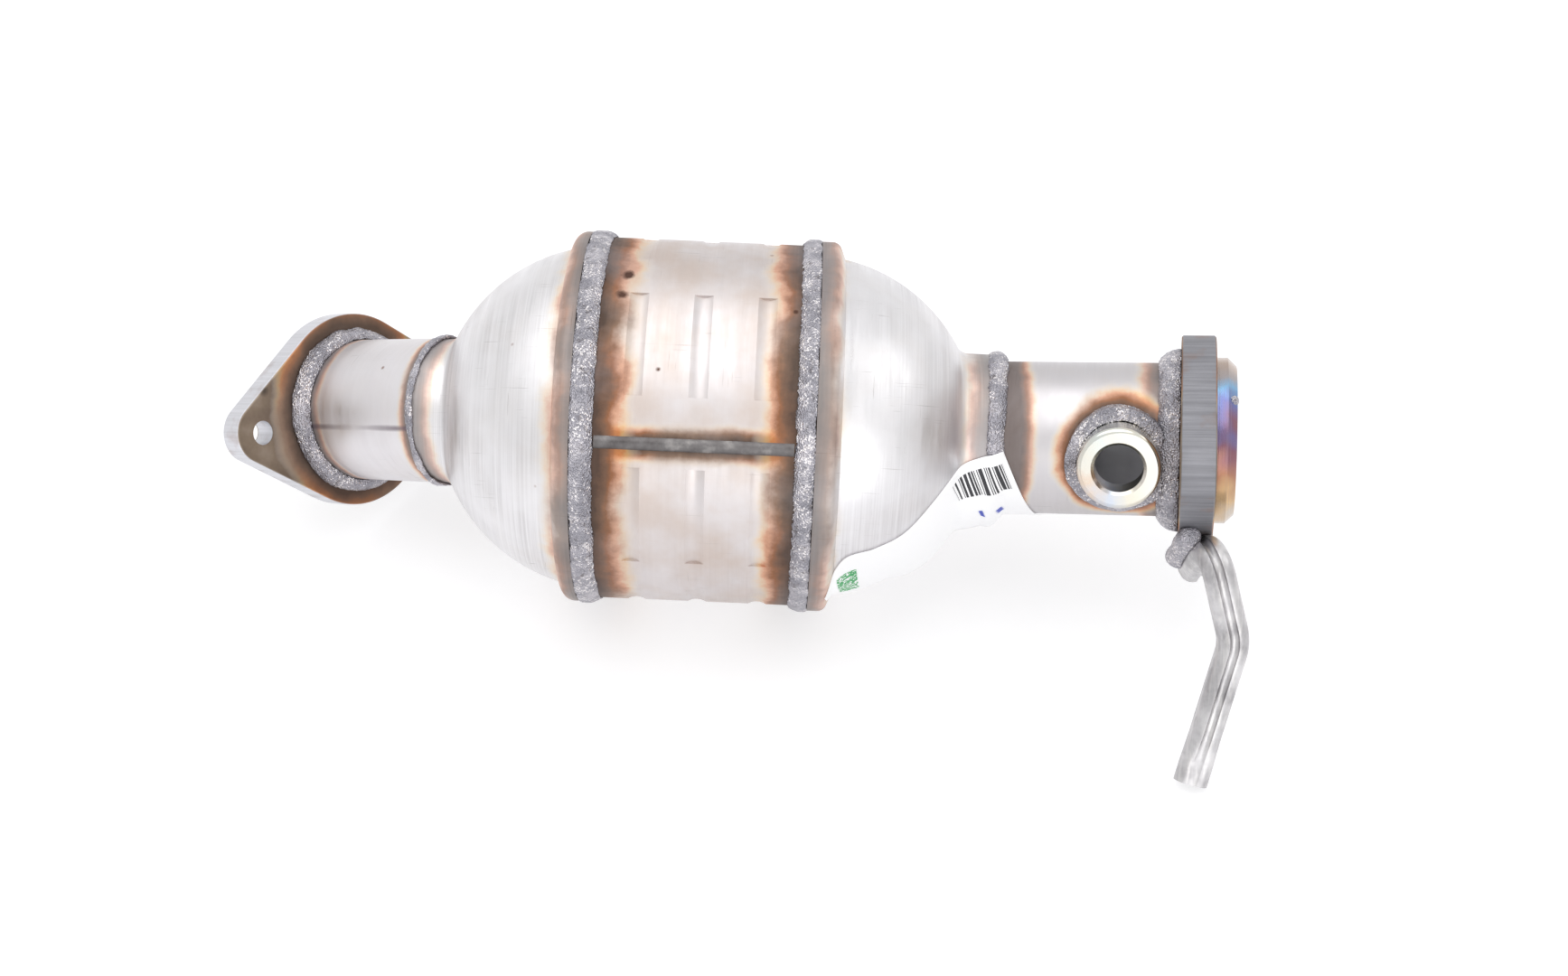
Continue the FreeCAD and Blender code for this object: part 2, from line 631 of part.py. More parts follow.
def make_seat_ring():
    """The turned ring in front of the outlet flange, coned at its tip to seat a gasket."""
    near = face_station
    land, tip = near + size["seat_land"], near + size["seat_length"]
    bore = outlet_pipe_radius - pipe_wall
    return turned_body("outlet_seat_ring", OUTLET_FRAME, [
        (near, bore), (near, size["seat_radius"]), (land, size["seat_radius"]),
        (tip, size["seat_tip_radius"]), (tip, bore)])


def make_sensor_boss():
    """The threaded boss, saddled to the pipe, with a countersunk mouth and a rounded edge."""
    face = outlet_pipe_radius + size["boss_height"]
    outer, bore, mouth, edge = (size["boss_radius"], size["boss_bore"], size["boss_mouth"],
                                size["boss_edge"])
    foot = leg_of(outlet_pipe_radius, outer) - 2.0
    blank = turned_body("sensor_boss_blank", BOSS_FRAME, [
        (bore, foot), (outer, foot), (outer, face - edge, edge), (outer - edge, face),
        (mouth, face), (bore, face - (mouth - bore))], axis="V_Axis", plane="XZ_Plane")
    core = cylinder("sensor_boss_core", OUTLET_FRAME, 0, REACH, outlet_pipe_radius)
    return cut("sensor_boss", blank, core)


def make_sensor_boss_weld(flange_bead):
    """The bead round the boss, which follows the pipe's curve."""
    width, height = 4.2, 3.2
    skin = cylinder("boss_bead_skin", OUTLET_FRAME, 0, REACH, outlet_pipe_radius + height)
    reach = size["boss_radius"] + width
    post = turned_body("boss_bead_post", BOSS_FRAME,
                       [(0, 0), (reach, 0), (reach, REACH / 2), (0, REACH / 2)],
                       axis="V_Axis", plane="XZ_Plane")
    band = join("Common", "boss_bead_band", skin, post)
    core = cylinder("boss_bead_core", OUTLET_FRAME, 0, REACH, outlet_pipe_radius)
    radius = size["boss_radius"]
    boss = turned_body("boss_bead_bore", BOSS_FRAME,
                       [(0, 0), (radius, 0), (radius, REACH / 2), (0, REACH / 2)],
                       axis="V_Axis", plane="XZ_Plane")
    return cut("sensor_boss_weld", band, core, boss, flange_bead)


def rod_section(half_width, half_depth, groove):
    """The rod's section: a flattened round with a groove along its front and its back."""
    lip = 0.3 * half_width
    shoulder_x, shoulder_y = 0.82 * half_width, 0.68 * half_depth
    edges = []
    for front in (1, -1):
        top = [Vector(-lip * front, half_depth * front, 0),
               Vector(0, (half_depth - groove) * front, 0), Vector(lip * front, half_depth * front, 0)]
        edges.append(Part.Arc(*top).toShape())
        side = [top[2], Vector(shoulder_x * front, shoulder_y * front, 0), Vector(half_width * front, 0, 0)]
        edges.append(Part.Arc(*side).toShape())
        back = [side[2], Vector(shoulder_x * front, -shoulder_y * front, 0),
                Vector(lip * front, -half_depth * front, 0)]
        edges.append(Part.Arc(*back).toShape())
    return Part.Wire(edges)


def stand_section(wire, origin, along, front):
    """Puts a flat section at a point, square to the line, with its front side turned to front."""
    along = Vector(along).normalize()
    across = Vector(front).cross(along).normalize()
    facing = along.cross(across)
    wire = wire.copy()
    wire.Placement = Placement(origin, Rotation(across, facing, along, "XYZ"))
    return wire


def rounded_path(points, radii):
    """A wire along the points, with each inner corner rounded by a tangent arc."""
    edges = []
    start = points[0]
    for corner, before, after, radius in zip(points[1:-1], points, points[2:], radii):
        incoming = (corner - before).normalize()
        outgoing = (after - corner).normalize()
        half_turn = incoming.getAngle(outgoing) / 2
        setback = radius * math.tan(half_turn)
        inward = (outgoing - incoming).normalize()
        middle = corner + inward * radius * (1 / math.cos(half_turn) - 1)
        arc_start, arc_end = corner - incoming * setback, corner + outgoing * setback
        edges += [Part.LineSegment(start, arc_start).toShape(), Part.Arc(arc_start, middle, arc_end).toShape()]
        start = arc_end
    edges.append(Part.LineSegment(start, points[-1]).toShape())
    return Part.Wire(edges)


def make_hanger_rod(flange):
    """The hanger: a grooved rod bent twice, with its free end flattened and slit."""
    half_width, half_depth = size["rod_half_width"].value, size["rod_half_depth"].value
    towards = Vector(0, 0, 1)
    down = (ROD_FOOT - ROD_KNEE).normalize()
    flat_start = ROD_FOOT - down * ROD_FLAT
    taper_start = flat_start - down * ROD_TAPER
    section = rod_section(half_width, half_depth, size["rod_groove"].value)
    path = rounded_path([taper_start, ROD_KNEE, ROD_ELBOW, ROD_LEG_END],
                        [size["knee_radius"].value, size["elbow_radius"].value])
    sweep = Part.BRepOffsetAPI.MakePipeShell(path)
    sweep.setFrenetMode(False)
    sweep.add(stand_section(section, taper_start, -down, towards))
    sweep.build()
    sweep.makeSolid()
    flat_section = rod_section(half_width + 0.5, half_depth - 1.6, 0.25)
    wires = [stand_section(wire, place, -down, towards)
             for wire, place in ((section, taper_start), (flat_section, flat_start), (flat_section, ROD_FOOT))]
    taper = Part.makeLoft(wires[:2], True, True)
    flat = Part.makeLoft(wires[1:], True, True)
    slit = Part.makeBox(half_width, 0.8, ROD_SLIT_DEPTH, Vector(-half_width / 2, -0.4, 0))
    across = towards.cross(-down).normalize()
    slit.Placement = Placement(ROD_FOOT, Rotation(across, (-down).cross(across), -down, "XYZ"))
    rod = sweep.shape().fuse([taper, flat]).cut(slit)
    bar = doc.addObject("Part::Feature", "hanger_bar")
    bar.Shape = rod.removeSplitter()
    bar.setExpression("Placement", CAN_FRAME)
    return cut("hanger_rod", bar, flange)


def make_hanger_weld(rod, flange, flange_bead):
    """The weld metal along the rod's leg, with rounded ends."""
    line = ROD_WELD_END - ROD_WELD_START
    metal = Part.makeCylinder(ROD_WELD_RADIUS, line.Length, ROD_WELD_START, line)
    for end in (ROD_WELD_START, ROD_WELD_END):
        metal = metal.fuse(Part.makeSphere(ROD_WELD_RADIUS, end))
    blank = doc.addObject("Part::Feature", "hanger_weld_blank")
    blank.Shape = metal.removeSplitter()
    blank.setExpression("Placement", CAN_FRAME)
    return cut("hanger_weld", blank, rod, flange, flange_bead)


def build():
    """Makes every sub-part and returns the ones that are pieces of the converter."""
    envelope = make_inlet_envelope("inlet_dome_envelope", 0.0, 0.0)
    inlet_run = size["inlet_run"]
    inlet_bead = make_fillet_bead("inlet_flange_weld", INLET_FRAME, inlet_pipe_radius,
                                  inlet_run - 5.2, inlet_run, 4.4)
    bead_blank = make_fillet_bead("outlet_flange_bead", OUTLET_FRAME, outlet_pipe_radius,
                                  outlet_run - 7.6, outlet_run, 4.8)
    boss = make_sensor_boss()
    outlet_bead = cut("outlet_flange_weld", bead_blank, boss)
    outlet_flange = make_flange("outlet", OUTLET_PLATE_FRAME, outlet_pipe_radius)
    rod = make_hanger_rod(outlet_flange)
    pieces = [make_shell(), make_seam(), make_dome("inlet", -1), make_dome("outlet", 1),
              make_ring_bead("inlet", -1), make_ring_bead("outlet", 1), make_brick()]
    pieces += make_packing()
    pieces += [make_inlet_pipe(envelope), make_inlet_neck_weld(envelope)]
    pieces += [make_flange("inlet", INLET_PLATE_FRAME, inlet_pipe_radius), inlet_bead]
    pieces += [make_outlet_pipe(), make_outlet_neck_weld(), outlet_flange, outlet_bead, make_seat_ring()]
    pieces += [boss, make_sensor_boss_weld(outlet_bead)]
    pieces += [rod, make_hanger_weld(rod, outlet_flange, outlet_bead)]
    return pieces


def check_document():
    """Stops the build if any object failed to recompute."""
    for item in doc.Objects:
        if any(word in item.State for word in ("Invalid", "Error")):
            raise RuntimeError(f"{item.Label} failed: {item.State}")


def export(pieces):
    os.makedirs(OUTPUT_FOLDER, exist_ok=True)
    for piece in pieces:
        shape = piece.Shape
        if shape.isNull() or not shape.isValid() or not shape.Solids:
            raise RuntimeError(f"{piece.Label} has no valid solid")
        shape.exportStep(os.path.join(OUTPUT_FOLDER, f"{piece.Label}.step"))
        print(f"{piece.Label}: {len(shape.Solids)} solid, {shape.Volume / 1000:.2f} cm3")


pieces = build()
doc.recompute()
check_document()
export(pieces)
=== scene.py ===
"""A welded catalytic converter in bare steel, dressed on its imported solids."""
import json
import math
import bmesh
import bpy
from mathutils import Matrix, Vector, geometry, noise


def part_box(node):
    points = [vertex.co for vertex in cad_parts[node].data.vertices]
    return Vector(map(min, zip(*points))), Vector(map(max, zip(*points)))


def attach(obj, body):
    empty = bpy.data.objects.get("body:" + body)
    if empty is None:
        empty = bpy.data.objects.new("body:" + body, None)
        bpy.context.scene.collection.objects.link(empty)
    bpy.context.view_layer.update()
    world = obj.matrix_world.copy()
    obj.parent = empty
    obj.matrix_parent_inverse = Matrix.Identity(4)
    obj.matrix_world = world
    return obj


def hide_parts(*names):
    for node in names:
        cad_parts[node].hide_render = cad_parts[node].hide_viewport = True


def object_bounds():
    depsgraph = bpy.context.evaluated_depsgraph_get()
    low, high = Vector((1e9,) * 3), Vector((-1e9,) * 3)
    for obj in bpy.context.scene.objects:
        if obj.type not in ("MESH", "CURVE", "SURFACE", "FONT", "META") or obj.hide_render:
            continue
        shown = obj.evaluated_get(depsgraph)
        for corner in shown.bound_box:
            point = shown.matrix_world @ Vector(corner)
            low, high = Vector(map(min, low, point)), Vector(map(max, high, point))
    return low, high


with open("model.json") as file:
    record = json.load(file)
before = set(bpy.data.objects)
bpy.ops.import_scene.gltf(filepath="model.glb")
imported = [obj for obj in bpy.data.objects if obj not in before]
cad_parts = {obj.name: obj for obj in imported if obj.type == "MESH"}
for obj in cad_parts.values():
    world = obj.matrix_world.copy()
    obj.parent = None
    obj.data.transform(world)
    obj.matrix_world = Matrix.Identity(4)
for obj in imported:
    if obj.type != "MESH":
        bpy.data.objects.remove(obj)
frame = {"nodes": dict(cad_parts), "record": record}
solids_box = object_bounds()
nodes = frame["nodes"]
mounts = {mount["name"]: mount for mount in frame["record"]["mounts"]}

MM = 0.001

# ---------------------------------------------------------------- places

LIE = math.radians(45.0)            # the can is turned about its own axis
CAMERA_PLACE = Vector((28.7, -22.0, 683.0)) * MM
CAMERA_ROLL = math.radians(2.5)
CAMERA_LENS = 44.61


def middle(node):
    """The middle of a node's box."""
    low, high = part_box(node)
    return (low + high) / 2


def axes_frame(origin, along, towards):
    """A frame with X along a pipe and Z as near as can be to another direction."""
    x = Vector(along).normalized()
    y = Vector(towards).cross(x).normalized()
    z = x.cross(y)
    turn = Matrix((x, y, z)).transposed().to_4x4()
    return Matrix.Translation(origin) @ turn


CAN = Matrix.Translation(middle("catalyst_brick")) @ Matrix.Rotation(LIE, 4, "X")
OUTWARD = CAN.to_3x3() @ Vector((0, 0, 1))
ACROSS = CAN.to_3x3() @ Vector((1, 0, 0))


def pipe_frame(mount):
    """A pipe's frame, from where its line passes the can's own."""
    place, along = Vector(mounts[mount]["pos_m"]), Vector(mounts[mount]["axis"])
    start = CAN.translation
    nearest = geometry.intersect_line_line(place, place + along, start, start + ACROSS)
    return axes_frame(nearest[0], along, OUTWARD)


INLET = pipe_frame("inlet_bolts")
OUTLET = pipe_frame("outlet_bolts")
MITRE = axes_frame(INLET.translation, INLET.to_3x3() @ Vector((1, 0, 0)) - ACROSS, OUTWARD)
BOSS = axes_frame(Vector(mounts["sensor_thread"]["pos_m"]), mounts["sensor_thread"]["axis"],
                  -ACROSS)


def station_span(place, node):
    """How far along a frame's X a node reaches."""
    back = place.inverted()
    stations = [(back @ corner.co).x for corner in nodes[node].data.vertices]
    return min(stations), max(stations)


LEFT_RING = station_span(CAN, "inlet_shell_weld")
RIGHT_RING = station_span(CAN, "outlet_shell_weld")
NECK_IN = station_span(MITRE, "inlet_neck_weld")
NECK_OUT = station_span(CAN, "outlet_neck_weld")
PLATE_IN = station_span(INLET, "inlet_flange")
PLATE_OUT = station_span(OUTLET, "outlet_flange")
FILLET_IN = station_span(INLET, "inlet_flange_weld")
FILLET_OUT = station_span(OUTLET, "outlet_flange_weld")
SEAM_TURN = math.radians(-9.0)          # the can's long weld, from the front
SEAM_HALF = 1.6 * MM
CAN_RADIUS = 63 * MM
INLET_RADIUS = 25.4 * MM
OUTLET_RADIUS = 26.5 * MM
INLET_SEAM_TURN = math.radians(17.0)    # the drawn line along the inlet tube
BOSS_WELD_RADIUS = 17.0 * MM

# ---------------------------------------------------------------- node helpers


def put(tree, kind, inputs=None, **settings):
    """Adds a node; each input is a value or another node's socket."""
    made = tree.nodes.new(kind)
    for key, value in settings.items():
        setattr(made, key, value)
    for key, value in (inputs or {}).items():
        socket = made.inputs[key]
        if isinstance(value, bpy.types.NodeSocket):
            tree.links.new(value, socket)
        else:
            socket.default_value = value
    return made


def calc(tree, operation, first, second=0.0, third=0.0, clamp=False):
    """One step of arithmetic on values or sockets."""
    made = put(tree, "ShaderNodeMath", {0: first, 1: second, 2: third},
               operation=operation, use_clamp=clamp)
    return made.outputs[0]


def rescale(tree, value, low, high, start=0.0, end=1.0):
    """A value moved from one range to another, and held inside it."""
    made = put(tree, "ShaderNodeMapRange", {"Value": value, "From Min": low, "From Max": high,
                                            "To Min": start, "To Max": end})
    return made.outputs["Result"]


def ramp(tree, value, stops):
    """A colour that follows a value through (place, (red, green, blue)) stops."""
    made = put(tree, "ShaderNodeValToRGB", {"Fac": value})
    made.color_ramp.interpolation = "LINEAR"
    points = made.color_ramp.elements
    while len(points) > 1:
        points.remove(points[-1])
    for count, (place, shade) in enumerate(stops):
        point = points[0] if count == 0 else points.new(place)
        point.position = place
        point.color = colour(*shade)
    return made.outputs["Color"]


def mix(tree, share, first, second):
    """One colour laid over another by a share."""
    made = put(tree, "ShaderNodeMix", {0: share, 6: first, 7: second},
               data_type="RGBA", blend_type="MIX")
    return made.outputs[2]


def colour(red, green, blue):
    """A linear colour with full alpha."""
    return (red, green, blue, 1.0)


def cloud(tree, vector, scale, detail=3.0, roughness=0.55, distortion=0.0):
    """Smooth noise, mostly between 0.3 and 0.7."""
    made = put(tree, "ShaderNodeTexNoise", {"Vector": vector, "Scale": scale, "Detail": detail,
                                            "Roughness": roughness, "Distortion": distortion})
    return made.outputs["Fac"]


def stretched(tree, vector, scale, turn=(0, 0, 0)):
    """A vector scaled along each axis, so that a texture on it runs in streaks."""
    made = put(tree, "ShaderNodeMapping", {"Vector": vector, "Scale": scale, "Rotation": turn})
    return made.outputs["Vector"]


def local_vector(tree, place):
    """Object coordinates seen from one of the object's own frames."""
    back = place.inverted()
    whole = put(tree, "ShaderNodeTexCoord").outputs["Object"]
    made = put(tree, "ShaderNodeMapping", {"Vector": whole, "Location": back.translation,
                                           "Rotation": back.to_euler("XYZ")})
    return made.outputs["Vector"]


def split(tree, vector):
    """A vector's X, Y and Z."""
    made = put(tree, "ShaderNodeSeparateXYZ", {0: vector})
    return made.outputs["X"], made.outputs["Y"], made.outputs["Z"]


def radius_of(tree, across, deep):
    """The distance from a frame's X."""
    square = calc(tree, "ADD", calc(tree, "MULTIPLY", across, across),
                  calc(tree, "MULTIPLY", deep, deep))
    return calc(tree, "SQRT", square)


def bump(tree, height, depth, strength=1.0, normal=None):
    """A normal raised by a height, over another normal if one is given."""
    inputs = {"Height": height, "Distance": depth, "Strength": strength}
    if normal is not None:
        inputs["Normal"] = normal
    return put(tree, "ShaderNodeBump", inputs).outputs["Normal"]


class Finish:
    """A material with a Principled shader, and short calls for its sockets."""

    def __init__(self, name, metallic=1.0, roughness=0.4):
        self.material = bpy.data.materials.new(name)
        self.material.use_nodes = True
        self.tree = self.material.node_tree
        self.shader = self.tree.nodes["Principled BSDF"]
        self.set("Metallic", metallic)
        self.set("Roughness", roughness)

    def set(self, socket, value):
        if isinstance(value, bpy.types.NodeSocket):
            self.tree.links.new(value, self.shader.inputs[socket])
        else:
            self.shader.inputs[socket].default_value = value


# ---------------------------------------------------------------- shared effects


def effect(name, inputs, outputs):
    """Starts a node group with named sockets and gives back its tree and both ends."""
    group = bpy.data.node_groups.new(name, "ShaderNodeTree")
    for label, kind, value in inputs:
        socket = group.interface.new_socket(label, in_out="INPUT", socket_type=kind)
        if value is not None:
            socket.default_value = value
    for label, kind in outputs:
        group.interface.new_socket(label, in_out="OUTPUT", socket_type=kind)
    start = group.nodes.new("NodeGroupInput")
    end = group.nodes.new("NodeGroupOutput")
    return group, start.outputs, end.inputs


NUMBER, SHADE, ARROW = "NodeSocketFloat", "NodeSocketColor", "NodeSocketVector"


def build_weld_heat():
    """Oxide colours left by a weld: scorched brown, orange, straw, then bare steel."""
    group, given, result = effect(
        "Weld heat", [("Vector", ARROW, None), ("Distance", NUMBER, 0.0),
                      ("Reach", NUMBER, 0.012), ("Scorch", NUMBER, 1.0)],
        [("Colour", SHADE), ("Film", NUMBER)])
    share = calc(group, "DIVIDE", given["Distance"], given["Reach"])
    broad = cloud(group, given["Vector"], 70.0, 2.0)
    fine = cloud(group, given["Vector"], 420.0, 4.0, 0.65)
    wander = calc(group, "ADD", rescale(group, broad, 0.3, 0.7, -0.15, 0.15),
                  rescale(group, fine, 0.3, 0.7, -0.045, 0.045))
    place = calc(group, "ADD", share, wander, clamp=True)
    vivid = rescale(group, cloud(group, given["Vector"], 24.0, 1.0), 0.34, 0.50)
    plain = ramp(group, place, [
        (0.00, (0.110, 0.078, 0.062)), (0.22, (0.200, 0.135, 0.102)),
        (0.50, (0.360, 0.245, 0.175)), (0.72, (0.600, 0.480, 0.370)),
        (1.00, (0.760, 0.720, 0.680))])
    flame = ramp(group, place, [
        (0.00, (0.105, 0.066, 0.050)), (0.22, (0.210, 0.118, 0.078)),
        (0.42, (0.400, 0.170, 0.080)), (0.56, (0.700, 0.280, 0.095)),
        (0.68, (0.860, 0.560, 0.250)), (0.84, (0.850, 0.730, 0.560)),
        (1.00, (0.780, 0.770, 0.765))])
    tones = mix(group, vivid, plain, flame)
    cover = rescale(group, place, 1.0, 0.35)
    cover = calc(group, "MULTIPLY", cover, given["Scorch"], clamp=True)
    group.links.new(tones, result["Colour"])
    group.links.new(cover, result["Film"])
    return group


def build_spun_lines():
    """Fine rings left by spinning or drawing, running round the frame's X."""
    group, given, result = effect(
        "Spun lines", [("Vector", ARROW, None), ("Pitch", NUMBER, 1600.0)],
        [("Height", NUMBER), ("Tone", NUMBER)])
    fast = put(group, "ShaderNodeCombineXYZ", {"X": given["Pitch"], "Y": 9.0, "Z": 9.0})
    thick = put(group, "ShaderNodeVectorMath", {0: given["Vector"], 1: fast.outputs[0]},
                operation="MULTIPLY").outputs[0]
    rings = cloud(group, thick, 1.0, 4.0, 0.7)
    patch = cloud(group, given["Vector"], 28.0, 3.0)
    tone = calc(group, "MULTIPLY", rescale(group, rings, 0.3, 0.7),
                rescale(group, patch, 0.35, 0.62))
    group.links.new(rings, result["Height"])
    group.links.new(tone, result["Tone"])
    return group


def build_handling():
    """Smears, scuffs and hair scratches from handling."""
    group, given, result = effect(
        "Handling marks", [("Vector", ARROW, None), ("Amount", NUMBER, 1.0)],
        [("Smear", NUMBER), ("Scratch", NUMBER)])
    smear = rescale(group, cloud(group, given["Vector"], 45.0, 5.0, 0.6, 0.6), 0.42, 0.72)
    found = None
    for turn, scale in (((0.4, 0.2, 0.5), (60, 2600, 60)), ((0.1, 0.9, -0.6), (2100, 50, 50)),
                        ((-0.5, 0.3, 1.3), (40, 3000, 40))):
        line = cloud(group, stretched(group, given["Vector"], scale, turn), 1.0, 2.0, 0.5)
        line = rescale(group, line, 0.70, 0.74)
        found = line if found is None else calc(group, "MAXIMUM", found, line)
    patch = rescale(group, cloud(group, given["Vector"], 60.0, 1.0), 0.52, 0.62)
    scratch = calc(group, "MULTIPLY", calc(group, "MULTIPLY", found, patch), given["Amount"])
    group.links.new(smear, result["Smear"])
    group.links.new(scratch, result["Scratch"])
    return group


def build_specks():
    """Sparse round dots, such as rust specks and fine spatter."""
    group, given, result = effect(
        "Specks", [("Vector", ARROW, None), ("Scale", NUMBER, 90.0), ("Size", NUMBER, 0.10),
                   ("Share", NUMBER, 0.25)], [("Mask", NUMBER)])
    cells = put(group, "ShaderNodeTexVoronoi", {"Vector": given["Vector"],
                                                "Scale": given["Scale"], "Randomness": 1.0})
    chance = split(group, cells.outputs["Color"])[0]
    chosen = calc(group, "LESS_THAN", chance, given["Share"])
    dots = put(group, "ShaderNodeMapRange", {
        "Value": cells.outputs["Distance"], "From Min": given["Size"],
        "From Max": calc(group, "MULTIPLY", given["Size"], 0.4)})
    group.links.new(calc(group, "MULTIPLY", dots.outputs["Result"], chosen), result["Mask"])
    return group


WELD_HEAT = build_weld_heat()
SPUN_LINES = build_spun_lines()
HANDLING = build_handling()
SPECKS = build_specks()


def use(tree, group, **inputs):
    """Places a shared effect and gives back its outputs."""
    made = put(tree, "ShaderNodeGroup", node_tree=group)
    for key, value in inputs.items():
        socket = made.inputs[key.title()]
        if isinstance(value, bpy.types.NodeSocket):
            tree.links.new(value, socket)
        else:
            socket.default_value = value
    return made.outputs


BARE = colour(0.81, 0.80, 0.815)
RUST = colour(0.20, 0.075, 0.035)

# ---------------------------------------------------------------- steels


def heated_steel(finish, vector, heats, base=BARE, lines=1600.0, lines_depth=0.00002,
                 dark=0.25, rough=(0.26, 0.42)):
    """Bright steel with spun lines and handling, under the heat of some welds.
    Each heat is (distance socket, reach, scorch). Gives back the tone and the heat's film."""
    tree = finish.tree
    spun = use(tree, SPUN_LINES, vector=vector, pitch=lines)
    marks = use(tree, HANDLING, vector=vector)
    tone = mix(tree, calc(tree, "MULTIPLY", spun["Tone"], dark), base,
               colour(0.42, 0.40, 0.40))
    tone = mix(tree, calc(tree, "MULTIPLY", marks["Smear"], 0.16), tone,
               colour(0.62, 0.55, 0.49))
    tone = mix(tree, calc(tree, "MULTIPLY", marks["Scratch"], 0.5), tone,
               colour(0.30, 0.28, 0.27))
    film = None
    for distance, reach, scorch in heats:
        heat = use(tree, WELD_HEAT, vector=vector, distance=distance, reach=reach, scorch=scorch)
        tone = mix(tree, heat["Film"], tone, heat["Colour"])
        film = heat["Film"] if film is None else calc(tree, "MAXIMUM", film, heat["Film"])
    dots = use(tree, SPECKS, vector=vector, scale=95.0, size=0.09, share=0.10)["Mask"]
    tone = mix(tree, calc(tree, "MULTIPLY", dots, 0.8), tone, RUST)
    polish = cloud(tree, stretched(tree, vector, (260, 22, 22)), 1.0, 5.0, 0.65)
    rough_base = rescale(tree, polish, 0.32, 0.68, *rough)
    haze = cloud(tree, vector, 16.0, 5.0, 0.62, 0.8)
    tone = mix(tree, rescale(tree, haze, 0.46, 0.66, 0.0, 0.18), tone, colour(0.55, 0.53, 0.56))
    rough_base = calc(tree, "ADD", rough_base, calc(tree, "MULTIPLY", film, 0.16))
    finish.set("Metallic", rescale(tree, film, 0.0, 1.0, 1.0, 0.72))
    rough_base = calc(tree, "ADD", rough_base, calc(tree, "MULTIPLY", spun["Tone"], 0.06))
    finish.set("Base Color", tone)
    finish.set("Roughness", rough_base)
    first = bump(tree, spun["Height"], lines_depth, 0.6)
    finish.set("Normal", bump(tree, marks["Scratch"], 0.00003, 0.5, first))
    return tone, film


def dark_spot(tree, vector, place, size):
    """A round scorched spot at a place in the vector's own frame."""
    away = put(tree, "ShaderNodeVectorMath", {0: vector, 1: place}, operation="DISTANCE")
    ragged = calc(tree, "ADD", away.outputs["Value"],
                  rescale(tree, cloud(tree, vector, 300.0, 3.0), 0.3, 0.7, -0.3 * size,
                          0.3 * size))
    return rescale(tree, ragged, size, 0.35 * size)


# Station along the can, turn up from the front, and radius of each spot.
SCORCHED_SPOTS = (
    (-25.5 * MM, math.radians(47.0), 2.6 * MM), (-26.5 * MM, math.radians(38.0), 2.6 * MM),
    (-13.0 * MM, math.radians(13.0), 1.1 * MM), (30.0 * MM, math.radians(34.0), 1.1 * MM))


def shell_finish():
    """The ribbed can: warm panels, scorched beside its three welds."""
    finish = Finish("Can steel")
    tree = finish.tree
    vector = local_vector(tree, CAN)
    along, across, deep = split(tree, vector)
    left = calc(tree, "SUBTRACT", along, LEFT_RING[1])
    right = calc(tree, "SUBTRACT", RIGHT_RING[0], along)
    turn = calc(tree, "ARCTAN2", across, deep)
    seam = calc(tree, "MULTIPLY", calc(tree, "SUBTRACT", turn, SEAM_TURN), CAN_RADIUS)
    seam = calc(tree, "SUBTRACT", calc(tree, "ABSOLUTE", seam), SEAM_HALF)
    tone, film = heated_steel(
        finish, vector, [(seam, 6 * MM, 1.0), (left, 15 * MM, 1.0), (right, 13 * MM, 1.0)],
        base=colour(0.69, 0.65, 0.65), dark=0.12, rough=(0.36, 0.54))
    warm = rescale(tree, cloud(tree, vector, 34.0, 4.0, 0.6), 0.42, 0.66, 0.0, 0.55)
    tone = mix(tree, calc(tree, "MULTIPLY", warm, calc(tree, "SUBTRACT", 1.0, film)), tone,
               colour(0.56, 0.45, 0.38))
    for station, angle, size in SCORCHED_SPOTS:
        place = Vector((station, CAN_RADIUS * math.sin(angle), CAN_RADIUS * math.cos(angle)))
        tone = mix(tree, dark_spot(tree, vector, place, size), tone, colour(0.10, 0.05, 0.035))
    finish.set("Base Color", tone)
    return finish.material


def dome_finish(name, ring, neck):
    """ring and neck are (frame, station, direction, reach, scorch) of each weld's heat."""
    finish = Finish(name)
    tree = finish.tree
    vector = local_vector(tree, CAN)
    heats = []
    for place, station, direction, reach, scorch in (ring, neck):
        along = split(tree, local_vector(tree, place))[0]
        away = calc(tree, "MULTIPLY", calc(tree, "SUBTRACT", along, station), direction)
        heats.append((away, reach, scorch))
    heated_steel(finish, vector, heats,
                 dark=0.45, lines=1500.0, lines_depth=0.00004, rough=(0.26, 0.54))
    return finish.material


